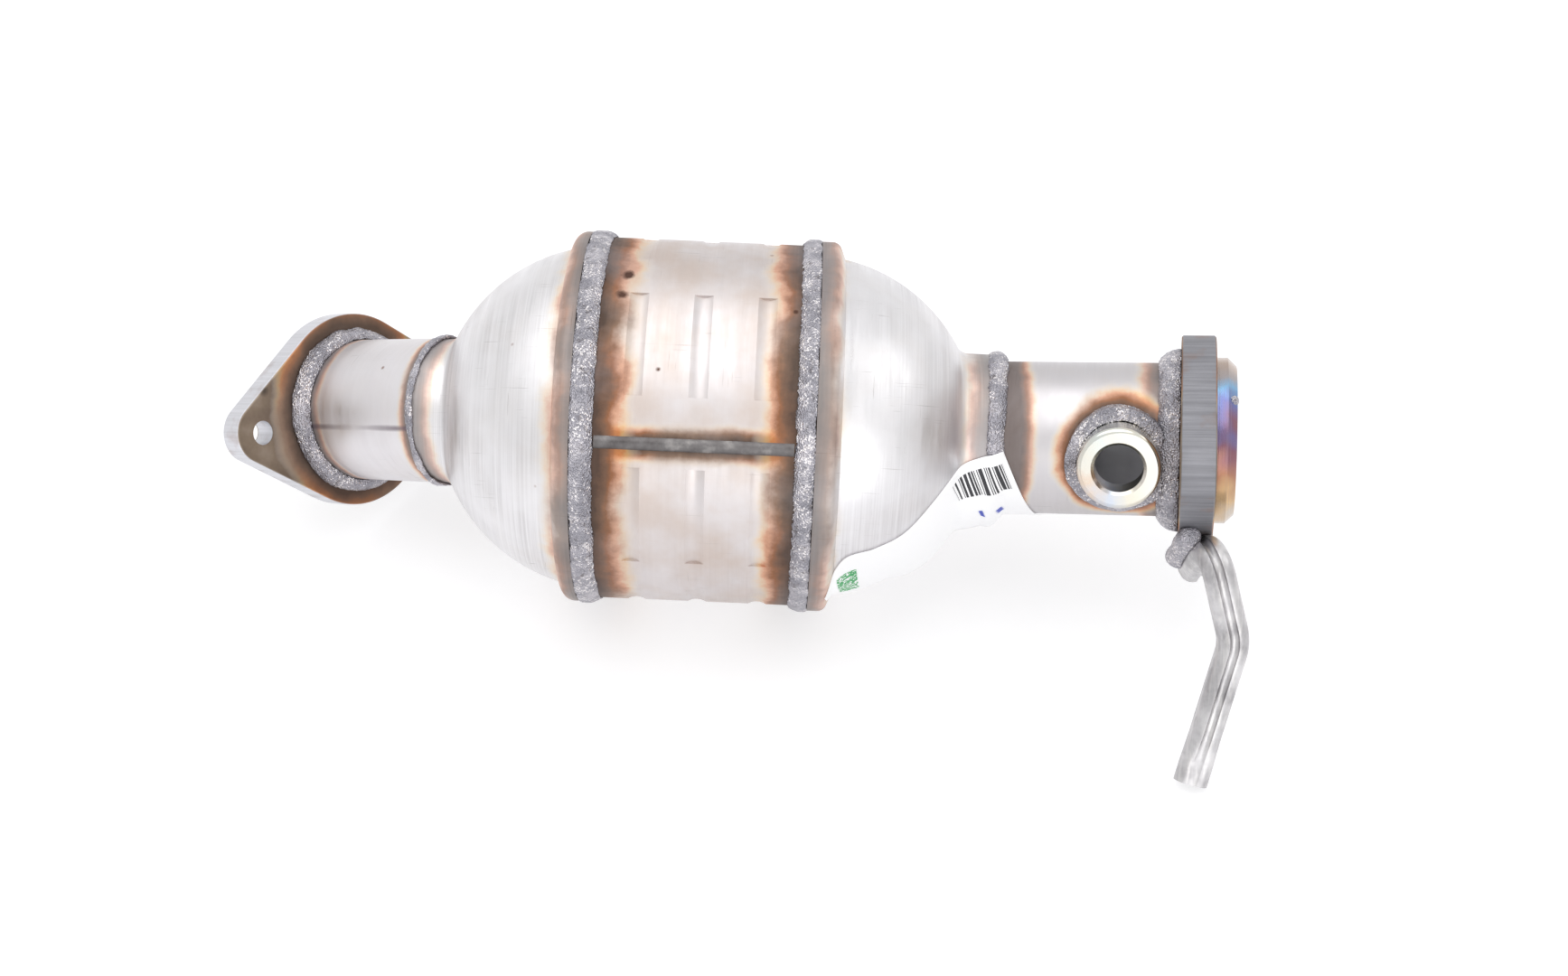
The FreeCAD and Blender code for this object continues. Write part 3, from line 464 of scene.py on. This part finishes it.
def pipe_finish(name, place, joint, far, radius, shade, boss=False):
    """A drawn tube: heat beside its welds, and a dull grey inside.
    joint is the frame, station and reach of the weld that the tube starts from, and far the
    station and reach of the weld at its flange."""
    finish = Finish(name)
    tree = finish.tree
    vector = local_vector(tree, place)
    along, across, deep = split(tree, vector)
    outside = rescale(tree, radius_of(tree, across, deep), radius - 0.9 * MM, radius - 0.3 * MM)
    joint_place, first, first_reach = joint
    last, last_reach = far
    start = split(tree, local_vector(tree, joint_place))[0]
    heats = [(calc(tree, "SUBTRACT", start, first), first_reach,
              calc(tree, "MULTIPLY", outside, 0.8)),
             (calc(tree, "SUBTRACT", last, along), last_reach,
              calc(tree, "MULTIPLY", outside, 0.7))]
    if boss:
        _, across, deep = split(tree, local_vector(tree, BOSS))
        away = calc(tree, "SUBTRACT", radius_of(tree, across, deep), BOSS_WELD_RADIUS)
        heats.append((away, 7 * MM, outside))
    tone, _ = heated_steel(finish, vector, heats, base=shade, dark=0.08,
                           lines=500.0, rough=(0.34, 0.50))
    if not boss:
        turn = calc(tree, "ARCTAN2", across, deep)
        line = calc(tree, "ABSOLUTE", calc(tree, "SUBTRACT", turn, INLET_SEAM_TURN))
        ragged = cloud(tree, stretched(tree, vector, (90, 500, 500)), 1.0, 3.0)
        line = calc(tree, "ADD", line, calc(tree, "MULTIPLY", ragged, 0.03))
        from_middle = calc(tree, "ABSOLUTE", calc(tree, "SUBTRACT", along, last / 2))
        ends = rescale(tree, from_middle, 0.0, last / 2, 0.15, 1.0)
        line = calc(tree, "MULTIPLY", rescale(tree, line, 0.065, 0.03), ends)
        line = calc(tree, "MULTIPLY", line, outside)
        tone = mix(tree, calc(tree, "MULTIPLY", line, 0.75), tone, colour(0.16, 0.12, 0.15))
    finish.set("Base Color", mix(tree, outside, colour(0.62, 0.62, 0.64), tone))
    return finish.material


def seam_finish():
    """The smooth dark line of the can's long weld."""
    finish = Finish("Seam weld", metallic=0.9, roughness=0.34)
    tree = finish.tree
    vector = local_vector(tree, CAN)
    ripples = cloud(tree, stretched(tree, vector, (700, 300, 300)), 1.0, 3.0)
    blotch = cloud(tree, vector, 160.0, 4.0)
    finish.set("Base Color", ramp(tree, blotch, [(0.30, (0.11, 0.10, 0.10)),
                                                 (0.55, (0.19, 0.18, 0.18)),
                                                 (0.78, (0.42, 0.40, 0.39))]))
    finish.set("Roughness", rescale(tree, blotch, 0.3, 0.7, 0.38, 0.58))
    finish.set("Normal", bump(tree, ripples, 0.00018, 0.7))
    return finish.material


def weld_finish():
    """Arc weld skin: blue-grey, pebbled, with bright clean grains."""
    finish = Finish("Weld metal")
    tree = finish.tree
    vector = put(tree, "ShaderNodeTexCoord").outputs["Object"]
    patch = cloud(tree, vector, 130.0, 3.0)
    grains = put(tree, "ShaderNodeTexVoronoi", {"Vector": vector, "Scale": 1900.0,
                                                "Randomness": 1.0})
    chance = split(tree, grains.outputs["Color"])[0]
    body = ramp(tree, patch, [(0.25, (0.28, 0.275, 0.31)), (0.50, (0.40, 0.39, 0.43)),
                              (0.72, (0.55, 0.53, 0.57))])
    clean = rescale(tree, calc(tree, "ADD", chance, rescale(tree, patch, 0.3, 0.7, -0.2, 0.2)),
                    0.72, 0.90)
    calm = rescale(tree, cloud(tree, vector, 75.0, 2.0), 0.50, 0.60, 1.0, 0.25)
    clean = calc(tree, "MULTIPLY", clean, calm)
    tone = mix(tree, calc(tree, "MULTIPLY", clean, 0.85), body, colour(0.92, 0.88, 0.88))
    soot = rescale(tree, cloud(tree, vector, 320.0, 4.0, 0.7), 0.56, 0.72)
    tone = mix(tree, calc(tree, "MULTIPLY", soot, 0.75), tone, colour(0.12, 0.10, 0.10))
    finish.set("Base Color", tone)
    finish.set("Roughness", rescale(tree, clean, 0.0, 1.0, 0.44, 0.16))
    fine = cloud(tree, vector, 1500.0, 3.0, 0.6)
    first = bump(tree, grains.outputs["Distance"], 0.00045, 1.0)
    finish.set("Normal", bump(tree, fine, 0.00010, 0.6, first))
    return finish.material


def plate_finish(name, place, span, bright, heat_from, rough):
    """A thick cut plate: oxidised faces, and cut edges between two bright tones, with fine
    lines across them."""
    finish = Finish(name)
    tree = finish.tree
    vector = local_vector(tree, place)
    along, across, deep = split(tree, vector)
    mid, half = (span[0] + span[1]) / 2, (span[1] - span[0]) / 2
    off = calc(tree, "ABSOLUTE", calc(tree, "SUBTRACT", along, mid))
    face = rescale(tree, off, half - 0.45 * MM, half - 0.20 * MM)
    cut = cloud(tree, stretched(tree, vector, (25, 950, 950)), 1.0, 3.0, 0.6)
    burn = cloud(tree, vector, 90.0, 4.0)
    edge = mix(tree, rescale(tree, cut, 0.35, 0.70), bright[0], bright[1])
    edge = mix(tree, rescale(tree, burn, 0.55, 0.75, 0.0, 0.45), edge, colour(0.33, 0.20, 0.15))
    skin = ramp(tree, cloud(tree, vector, 55.0, 4.0), [
        (0.30, (0.15, 0.11, 0.085)), (0.5, (0.24, 0.185, 0.135)), (0.7, (0.36, 0.30, 0.24))])
    radius = radius_of(tree, across, deep)
    heat = use(tree, WELD_HEAT, vector=vector,
               distance=calc(tree, "SUBTRACT", radius, heat_from), reach=9 * MM, scorch=0.8)
    skin = mix(tree, heat["Film"], skin, heat["Colour"])
    blots = use(tree, SPECKS, vector=vector, scale=85.0, size=0.22, share=0.16)["Mask"]
    skin = mix(tree, calc(tree, "MULTIPLY", blots, 0.8), skin, colour(0.05, 0.04, 0.035))
    finish.set("Base Color", mix(tree, face, edge, skin))
    finish.set("Metallic", rescale(tree, face, 0.0, 1.0, 0.85, 0.75))
    finish.set("Roughness", rescale(tree, burn, 0.3, 0.7, *rough))
    grain = cloud(tree, vector, 900.0, 3.0)
    first = bump(tree, calc(tree, "MULTIPLY", cut, calc(tree, "SUBTRACT", 1.0, face)),
                 0.00020, 0.8)
    finish.set("Normal", bump(tree, grain, 0.00006, 0.5, first))
    return finish.material


def seat_finish():
    """The turned seat ring: heat colours drift round it from blue to straw."""
    finish = Finish("Blued turned steel")
    tree = finish.tree
    vector = local_vector(tree, OUTLET)
    _, across, deep = split(tree, vector)
    turn = calc(tree, "ARCTAN2", across, deep)
    drift = rescale(tree, cloud(tree, vector, 60.0, 2.0), 0.3, 0.7, -0.12, 0.12)
    place = calc(tree, "ADD", rescale(tree, turn, math.pi / 2, -math.pi / 2), drift)
    tones = ramp(tree, place, [
        (0.05, (0.46, 0.36, 0.30)), (0.22, (0.42, 0.40, 0.42)), (0.34, (0.24, 0.48, 0.74)),
        (0.46, (0.16, 0.19, 0.45)), (0.55, (0.26, 0.11, 0.16)), (0.68, (0.42, 0.20, 0.12)),
        (0.82, (0.66, 0.44, 0.22)), (0.95, (0.58, 0.50, 0.42))])
    rings = use(tree, SPUN_LINES, vector=vector, pitch=2600.0)
    finish.set("Base Color", mix(tree, calc(tree, "MULTIPLY", rings["Tone"], 0.35), tones,
                                 colour(0.30, 0.28, 0.28)))
    finish.set("Roughness", rescale(tree, rings["Tone"], 0.0, 1.0, 0.18, 0.34))
    finish.set("Normal", bump(tree, rings["Height"], 0.00005, 0.7))
    return finish.material


def boss_finish():
    """The turned boss: straw and green film, with a blue and orange flash to one side."""
    finish = Finish("Turned boss steel")
    tree = finish.tree
    vector = local_vector(tree, BOSS)
    _, across, deep = split(tree, vector)
    turn = calc(tree, "ARCTAN2", across, deep)
    drift = cloud(tree, vector, 110.0, 3.0)
    place = calc(tree, "ADD", rescale(tree, turn, -math.pi, math.pi),
                 rescale(tree, drift, 0.3, 0.7, -0.06, 0.06))
    tones = ramp(tree, place, [
        (0.00, (0.70, 0.68, 0.63)), (0.15, (0.74, 0.70, 0.60)), (0.30, (0.58, 0.63, 0.72)),
        (0.42, (0.70, 0.58, 0.48)), (0.50, (0.72, 0.69, 0.62)), (0.68, (0.66, 0.70, 0.67)),
        (0.80, (0.76, 0.72, 0.62)), (1.00, (0.70, 0.68, 0.63))])
    rings = use(tree, SPUN_LINES, vector=vector, pitch=2400.0)
    finish.set("Base Color", mix(tree, calc(tree, "MULTIPLY", rings["Tone"], 0.25), tones,
                                 colour(0.34, 0.30, 0.28)))
    finish.set("Roughness", rescale(tree, rings["Tone"], 0.0, 1.0, 0.16, 0.30))
    finish.set("Normal", bump(tree, rings["Height"], 0.00005, 0.6))
    return finish.material


def rod_finish():
    """Dull zinc-grey pressed rod, with worn lines along it."""
    finish = Finish("Hanger rod steel")
    tree = finish.tree
    vector = local_vector(tree, CAN)
    drawn = cloud(tree, stretched(tree, vector, (700, 30, 700), (0, 0, 0.2)), 1.0, 3.0, 0.6)
    blotch = cloud(tree, vector, 90.0, 4.0, 0.6)
    tone = ramp(tree, blotch, [(0.30, (0.36, 0.35, 0.36)), (0.50, (0.52, 0.51, 0.52)),
                               (0.72, (0.70, 0.69, 0.70))])
    tone = mix(tree, rescale(tree, drawn, 0.45, 0.75, 0.0, 0.5), tone, colour(0.80, 0.78, 0.76))
    dots = use(tree, SPECKS, vector=vector, scale=240.0, size=0.13, share=0.10)["Mask"]
    tone = mix(tree, calc(tree, "MULTIPLY", dots, 0.5), tone, RUST)
    finish.set("Base Color", tone)
    finish.set("Roughness", rescale(tree, drawn, 0.3, 0.7, 0.46, 0.32))
    first = bump(tree, drawn, 0.00006, 0.7)
    finish.set("Normal", bump(tree, blotch, 0.0002, 0.4, first))
    return finish.material


def ceramic_finish():
    """Cordierite with its washcoat: matt, porous and pale brown."""
    finish = Finish("Coated ceramic", metallic=0.0, roughness=0.85)
    tree = finish.tree
    vector = put(tree, "ShaderNodeTexCoord").outputs["Object"]
    patch = cloud(tree, vector, 60.0, 5.0)
    pores = cloud(tree, vector, 2200.0, 3.0, 0.7)
    tone = ramp(tree, patch, [(0.3, (0.42, 0.35, 0.27)), (0.7, (0.60, 0.53, 0.43))])
    finish.set("Base Color", mix(tree, rescale(tree, pores, 0.5, 0.7, 0.0, 0.4), tone,
                                 colour(0.28, 0.22, 0.17)))
    finish.set("Normal", bump(tree, pores, 0.0001, 0.6))
    return finish.material


def fibre_finish():
    """The packing mat: pale loose strands."""
    finish = Finish("Packing fibre", metallic=0.0, roughness=0.95)
    tree = finish.tree
    vector = put(tree, "ShaderNodeTexCoord").outputs["Object"]
    strands = cloud(tree, stretched(tree, vector, (2500, 500, 500)), 1.0, 4.0, 0.7, 0.8)
    finish.set("Base Color", ramp(tree, strands, [(0.3, (0.55, 0.53, 0.48)),
                                                  (0.7, (0.82, 0.80, 0.76))]))
    finish.set("Normal", bump(tree, strands, 0.0003, 0.8))
    return finish.material


def knit_finish():
    """Knitted wire of the end seals."""
    finish = Finish("Knitted wire", metallic=1.0, roughness=0.4)
    tree = finish.tree
    vector = local_vector(tree, CAN)
    loops = put(tree, "ShaderNodeTexWave", {"Vector": vector, "Scale": 320.0,
                                            "Distortion": 6.0, "Detail": 2.0})
    finish.set("Base Color", ramp(tree, loops.outputs["Fac"], [(0.2, (0.10, 0.09, 0.08)),
                                                              (0.8, (0.60, 0.56, 0.52))]))
    finish.set("Normal", bump(tree, loops.outputs["Fac"], 0.0004, 0.9))
    return finish.material


def label_finish():
    """White paper with plain bars and patches of ink, and no lettering, given a faint painted
    glow that keeps it white.
    """
    finish = Finish("Label paper", metallic=0.0, roughness=0.38)
    tree = finish.tree
    flat = put(tree, "ShaderNodeTexCoord").outputs["UV"]
    u, v, _ = split(tree, flat)

    def window(value, low, high, soft=0.004):
        rise = rescale(tree, value, low - soft, low + soft)
        fall = rescale(tree, value, high + soft, high - soft)
        return calc(tree, "MULTIPLY", rise, fall)

    columns = calc(tree, "FLOOR", calc(tree, "MULTIPLY", u, 260.0))
    lines = put(tree, "ShaderNodeTexWhiteNoise", {"W": columns}, noise_dimensions="1D")
    bars = calc(tree, "GREATER_THAN", lines.outputs["Value"], 0.52)
    bars = calc(tree, "MULTIPLY", bars, calc(tree, "MULTIPLY", window(u, 0.74, 0.965),
                                             window(v, 0.62, 0.90)))
    paper = cloud(tree, flat, 140.0, 4.0)
    tone = mix(tree, rescale(tree, paper, 0.3, 0.7, 0.0, 0.06), colour(0.97, 0.97, 0.98),
               colour(0.86, 0.86, 0.89))
    tone = mix(tree, bars, tone, colour(0.03, 0.03, 0.035))
    scribble = calc(tree, "GREATER_THAN", cloud(tree, flat, 38.0, 2.0, 0.5, 1.2), 0.46)
    green = calc(tree, "MULTIPLY", scribble,
                 calc(tree, "MULTIPLY", window(u, 0.10, 0.23), window(v, 0.30, 0.78)))
    tone = mix(tree, green, tone, colour(0.02, 0.33, 0.09))
    blue = calc(tree, "MULTIPLY", window(v, 0.30, 0.40),
                calc(tree, "ADD", window(u, 0.80, 0.82), window(u, 0.87, 0.89)))
    tone = mix(tree, blue, tone, colour(0.05, 0.08, 0.45))
    finish.set("Base Color", tone)
    # Painted glow: the paper emits its own colour faintly, so it stays white as if lit, though
    # it is no lamp.
    finish.set("Emission Color", tone)
    finish.set("Emission Strength", 0.22)
    finish.set("Normal", bump(tree, cloud(tree, flat, 9.0, 2.0), 0.0004, 0.4))
    return finish.material


# ---------------------------------------------------------------- pieces


def dress(node, material):
    """Gives every slot of a node one material."""
    for holder in nodes[node].material_slots:
        holder.material = material


def link_piece(name, mesh, material):
    """Adds a new piece that rides on the one body."""
    piece = bpy.data.objects.new(name, mesh)
    bpy.context.scene.collection.objects.link(piece)
    mesh.materials.clear()
    mesh.materials.append(material)
    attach(piece, "root")
    return piece


def even_skin(node, step):
    """A copy of a weld's solid with a fine even skin that can be pebbled."""
    shape = bmesh.new()
    shape.from_mesh(nodes[node].data)
    bmesh.ops.remove_doubles(shape, verts=shape.verts, dist=1e-6)
    bmesh.ops.recalc_face_normals(shape, faces=shape.faces)
    mesh = bpy.data.meshes.new(node + "_skin")
    shape.to_mesh(mesh)
    shape.free()
    holder = bpy.data.objects.new(node + "_skin", mesh)
    bpy.context.scene.collection.objects.link(holder)
    remesh = holder.modifiers.new("Skin", "REMESH")
    remesh.mode = "VOXEL"
    remesh.voxel_size = step
    remesh.use_smooth_shade = True
    graph = bpy.context.evaluated_depsgraph_get()
    result = bpy.data.meshes.new_from_object(holder.evaluated_get(graph))
    bpy.data.objects.remove(holder)
    return result


def pebble(point, swell, seed):
    """Height of the weld skin over its plain shape."""
    shift = Vector((seed, -seed, 2 * seed))
    calm = noise.noise(point * 38.0 + shift)
    rough = min(1.0, max(0.15, 0.75 + 1.6 * calm))
    near = noise.voronoi(point * 880.0 + shift)[0][0]
    wave = noise.noise(point * 150.0 + shift)
    ripple = noise.noise(point * 420.0 + shift)
    return PEBBLE_GRAIN * (rough * (0.8 - 1.7 * near) + 0.6 * ripple) + swell * wave


def lumpy_weld(name, node, step, swell, seed, place=None, crown=None):
    """A pebbled bead that stands for a weld's plain solid, within the same reach.
    crown is the greatest distance from place's X."""
    mesh = even_skin(node, step)
    shape = bmesh.new()
    shape.from_mesh(mesh)
    shape.normal_update()
    low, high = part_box(node)
    back = place.inverted() if place is not None else None
    for corner in shape.verts:
        moved = corner.co + corner.normal * pebble(corner.co, swell, seed)
        if crown is not None:
            local = back @ moved
            reach = math.hypot(local.y, local.z)
            if reach > crown:
                local.y, local.z = local.y * crown / reach, local.z * crown / reach
                moved = place @ local
        corner.co = [min(high[k], max(low[k], moved[k])) for k in range(3)]
    for face in shape.faces:
        face.smooth = True
    shape.to_mesh(mesh)
    shape.free()
    piece = link_piece(name, mesh, WELD)
    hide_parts(node)
    return piece


def nearest_skin(place, direction, targets):
    """Where a line from outside first meets one of the nodes."""
    best = None
    for node in targets:
        hit, spot, _, _ = nodes[node].ray_cast(place, direction)
        if hit and (best is None or (spot - place).length < (best - place).length):
            best = spot
    return best


def smooth_through(points, share):
    """A point at a share of the way along a line of (station, turn) points."""
    place = share * (len(points) - 1)
    index = min(int(place), len(points) - 2)
    local = place - index
    before = points[max(index - 1, 0)]
    start, end = points[index], points[index + 1]
    after = points[min(index + 2, len(points) - 1)]
    result = []
    for a, b, c, d in zip(before, start, end, after):
        result.append(0.5 * (2 * b + (c - a) * local + (2 * a - 5 * b + 4 * c - d) * local ** 2
                             + (3 * b - a - 3 * c + d) * local ** 3))
    return result


# The label's long edges: station along the can in millimetres, and turn in degrees.
LABEL_TOP = [(44.0, -66.0), (49.5, -50.0), (60.0, -47.8), (70.0, -45.0), (80.0, -34.5),
             (90.0, -22.0), (102.0, -13.0)]
LABEL_FOOT = [(47.5, -84.0), (54.0, -87.5), (64.0, -88.0), (76.0, -88.0), (90.0, -88.0),
              (104.0, -88.0), (119.0, -86.0)]
OUTSIDE = 0.2                   # further from the can's axis than any steel, in metres
LABEL_BED = ("outlet_dome", "outlet_neck_weld", "outlet_pipe", "outlet_shell_weld")
LABEL_GAP = 0.45                # millimetres between the steel and the paper's middle
LABEL_LIFT = 5.6                # how far its foot stands off, in millimetres
HOLLOW_STATION, HOLLOW_REACH = 86.0, 20.0       # where the dome runs into its neck
PAPER_THICK = 0.12 * MM


def make_label():
    """A paper label laid along the outlet dome and its neck, lifting at its lower edge."""
    shape = bmesh.new()
    shape.loops.layers.uv.new("UVMap")
    bmesh.ops.create_grid(shape, x_segments=80, y_segments=36, size=0.5, calc_uvs=True)
    for corner in shape.verts:
        u, v = corner.co.x + 0.5, corner.co.y + 0.5
        top, bottom = smooth_through(LABEL_TOP, u), smooth_through(LABEL_FOOT, u)
        station = bottom[0] + (top[0] - bottom[0]) * v
        turn = math.radians(bottom[1] + (top[1] - bottom[1]) * v)
        away = Vector((0, math.sin(turn), math.cos(turn)))
        start = Vector((station * MM, 0, 0)) + away * OUTSIDE
        spot = nearest_skin(CAN @ start, CAN.to_3x3() @ -away, LABEL_BED)
        local = CAN.inverted() @ spot
        hollow = max(0.0, 1.0 - ((station - HOLLOW_STATION) / HOLLOW_REACH) ** 2)
        lift = LABEL_GAP + LABEL_LIFT * hollow * (1 - v) ** 1.6
        corner.co = CAN @ (local + away * lift * MM)
    mesh = bpy.data.meshes.new("paper_label")
    shape.to_mesh(mesh)
    shape.free()
    piece = link_piece("paper_label", mesh, label_finish())
    thick = piece.modifiers.new("Paper", "SOLIDIFY")
    thick.thickness = PAPER_THICK
    thick.offset = 1.0
    for face in mesh.polygons:
        face.use_smooth = True
    return piece


SPATTER_TURN = math.radians(28.0)
SPATTER_RADIUS = 1.7 * MM


def make_spatter():
    """A bead of spatter stuck on the seat ring."""
    tip = station_span(OUTLET, "outlet_seat_ring")[1]
    centre = OUTLET @ Vector((tip - 1.2 * MM, 27.0 * MM * math.sin(SPATTER_TURN),
                              26.0 * MM * math.cos(SPATTER_TURN)))
    shape = bmesh.new()
    bmesh.ops.create_icosphere(shape, subdivisions=4, radius=SPATTER_RADIUS)
    for corner in shape.verts:
        corner.co *= 1 + 0.10 * noise.noise(corner.co * 700.0)
        corner.co += centre
    mesh = bpy.data.meshes.new("spatter_bead")
    shape.to_mesh(mesh)
    shape.free()
    for face in mesh.polygons:
        face.use_smooth = True
    return link_piece("spatter_bead", mesh, WELD)


WELD = weld_finish()
PEBBLE_STEP = 0.5 * MM
PEBBLE_GRAIN = 0.26 * MM
BEAD_SWELL = 0.60 * MM
RING_CROWN = middle("outlet_shell_weld").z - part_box("outlet_shell_weld")[0].z

dress("shell", shell_finish())
dress("inlet_dome", dome_finish("Inlet dome steel", (CAN, LEFT_RING[0], -1.0, 11 * MM, 0.75),
                                (MITRE, NECK_IN[0], -1.0, 7 * MM, 0.6)))
dress("outlet_dome", dome_finish("Outlet dome steel", (CAN, RIGHT_RING[1], 1.0, 11 * MM, 0.75),
                                 (CAN, NECK_OUT[0], -1.0, 10 * MM, 0.6)))
dress("inlet_pipe", pipe_finish(
    "Inlet pipe steel", INLET, (MITRE, NECK_IN[1] - 4 * MM, 5 * MM), (FILLET_IN[0], 5 * MM),
    INLET_RADIUS, colour(0.76, 0.74, 0.76)))
dress("outlet_pipe", pipe_finish(
    "Outlet pipe steel", OUTLET, (CAN, NECK_OUT[1], 6 * MM), (FILLET_OUT[0], 9 * MM),
    OUTLET_RADIUS, colour(0.61, 0.59, 0.605), boss=True))
dress("inlet_flange", plate_finish(
    "Inlet plate steel", INLET, PLATE_IN,
    (colour(0.72, 0.72, 0.76), colour(0.62, 0.62, 0.65)), 31 * MM, (0.34, 0.48)))
dress("outlet_flange", plate_finish(
    "Outlet plate steel", OUTLET, PLATE_OUT,
    (colour(0.33, 0.33, 0.355), colour(0.245, 0.245, 0.265)), 32 * MM, (0.55, 0.70)))
dress("outlet_seat_ring", seat_finish())
dress("sensor_boss", boss_finish())
dress("hanger_rod", rod_finish())
dress("shell_seam_weld", seam_finish())
dress("catalyst_brick", ceramic_finish())
dress("support_mat", fibre_finish())
KNIT = knit_finish()
dress("inlet_mesh_seal", KNIT)
dress("outlet_mesh_seal", KNIT)

make_label()
make_spatter()
lumpy_weld("inlet_ring_bead", "inlet_shell_weld", PEBBLE_STEP, BEAD_SWELL, 3.1,
           CAN, RING_CROWN)
lumpy_weld("outlet_ring_bead", "outlet_shell_weld", PEBBLE_STEP, 0.65 * MM, 7.7,
           CAN, RING_CROWN)
for bead, node, seed in (("inlet_neck_bead", "inlet_neck_weld", 1.3),
                         ("outlet_neck_bead", "outlet_neck_weld", 4.9),
                         ("inlet_plate_bead", "inlet_flange_weld", 6.2),
                         ("outlet_plate_bead", "outlet_flange_weld", 8.4),
                         ("boss_bead", "sensor_boss_weld", 2.6),
                         ("hanger_bead", "hanger_weld", 5.5)):
    lumpy_weld(bead, node, PEBBLE_STEP * 0.9, BEAD_SWELL, seed)

# ---------------------------------------------------------------- studio


def make_camera():
    """The camera stands straight over the front of the can."""
    lens = bpy.data.cameras.new("Camera")
    lens.lens = CAMERA_LENS
    lens.sensor_width = 36.0
    lens.clip_start = 0.01
    holder = bpy.data.objects.new("Camera", lens)
    bpy.context.scene.collection.objects.link(holder)
    local = Matrix.Translation(CAMERA_PLACE) @ Matrix.Rotation(CAMERA_ROLL, 4, "Z")
    holder.matrix_world = CAN @ local
    bpy.context.scene.camera = holder


def make_lamp(name, place, aim, size, power):
    """A round soft lamp turned towards a point."""
    lamp = bpy.data.lights.new(name, "AREA")
    lamp.shape = "DISK"
    lamp.size = size
    lamp.energy = power
    holder = bpy.data.objects.new(name, lamp)
    bpy.context.scene.collection.objects.link(holder)
    direction = Vector(aim) - Vector(place)
    holder.rotation_euler = direction.to_track_quat("-Z", "Y").to_euler()
    holder.location = place


def make_floor():
    """Pale paper that shows white to the eye and to steel, and keeps the shadow."""
    shape = bmesh.new()
    bmesh.ops.create_grid(shape, x_segments=1, y_segments=1, size=6.0)
    bmesh.ops.translate(shape, verts=shape.verts, vec=(0, 0, solids_box[0].z))
    mesh = bpy.data.meshes.new("floor")
    shape.to_mesh(mesh)
    shape.free()
    piece = bpy.data.objects.new("floor", mesh)
    bpy.context.scene.collection.objects.link(piece)
    material = bpy.data.materials.new("Floor paper")
    material.use_nodes = True
    tree = material.node_tree
    shader = tree.nodes["Principled BSDF"]
    shader.inputs["Roughness"].default_value = 0.9
    shader.inputs["Specular IOR Level"].default_value = 0.2
    vector = put(tree, "ShaderNodeTexCoord").outputs["Object"]
    grain = cloud(tree, vector, 40.0, 3.0)
    tree.links.new(ramp(tree, grain, [(0.3, (0.56, 0.56, 0.575)), (0.7, (0.58, 0.58, 0.59))]),
                   shader.inputs["Base Color"])
    seen = put(tree, "ShaderNodeLightPath").outputs
    share = calc(tree, "MULTIPLY", calc(tree, "MAXIMUM", seen["Is Camera Ray"],
                                        seen["Is Glossy Ray"]), 0.58)
    glow = put(tree, "ShaderNodeEmission", {"Color": colour(1, 1, 1), "Strength": share})
    both = put(tree, "ShaderNodeAddShader", {0: shader.outputs[0], 1: glow.outputs[0]})
    tree.links.new(both.outputs[0], tree.nodes["Material Output"].inputs["Surface"])
    mesh.materials.append(material)


def make_world():
    """A white room: dimmer as a light than it is to the eye."""
    world = bpy.data.worlds.new("Studio")
    bpy.context.scene.world = world
    world.use_nodes = True
    tree = world.node_tree
    tree.nodes.clear()
    seen = put(tree, "ShaderNodeLightPath").outputs
    bright = calc(tree, "MAXIMUM", seen["Is Camera Ray"],
                  calc(tree, "MULTIPLY", seen["Is Glossy Ray"], 0.85))
    strength = calc(tree, "MULTIPLY_ADD", bright, 0.35, 0.65)
    sky = put(tree, "ShaderNodeBackground", {"Color": colour(1, 1, 1), "Strength": strength})
    put(tree, "ShaderNodeOutputWorld", {"Surface": sky.outputs[0]})


bpy.context.scene.view_settings.view_transform = "Standard"
make_camera()
make_floor()
make_world()
KEY = CAN @ Vector((-0.35, 1.05, 1.00))
FRONT = CAN @ Vector((0.55, -0.75, 1.30))
SIDE = CAN @ Vector((0.95, 0.62, 0.50))
make_lamp("Key", KEY, CAN.translation, 1.8, 9.0)
make_lamp("Front", FRONT, CAN.translation, 1.6, 6.5)
make_lamp("Side", SIDE, CAN.translation, 0.6, 0.9)
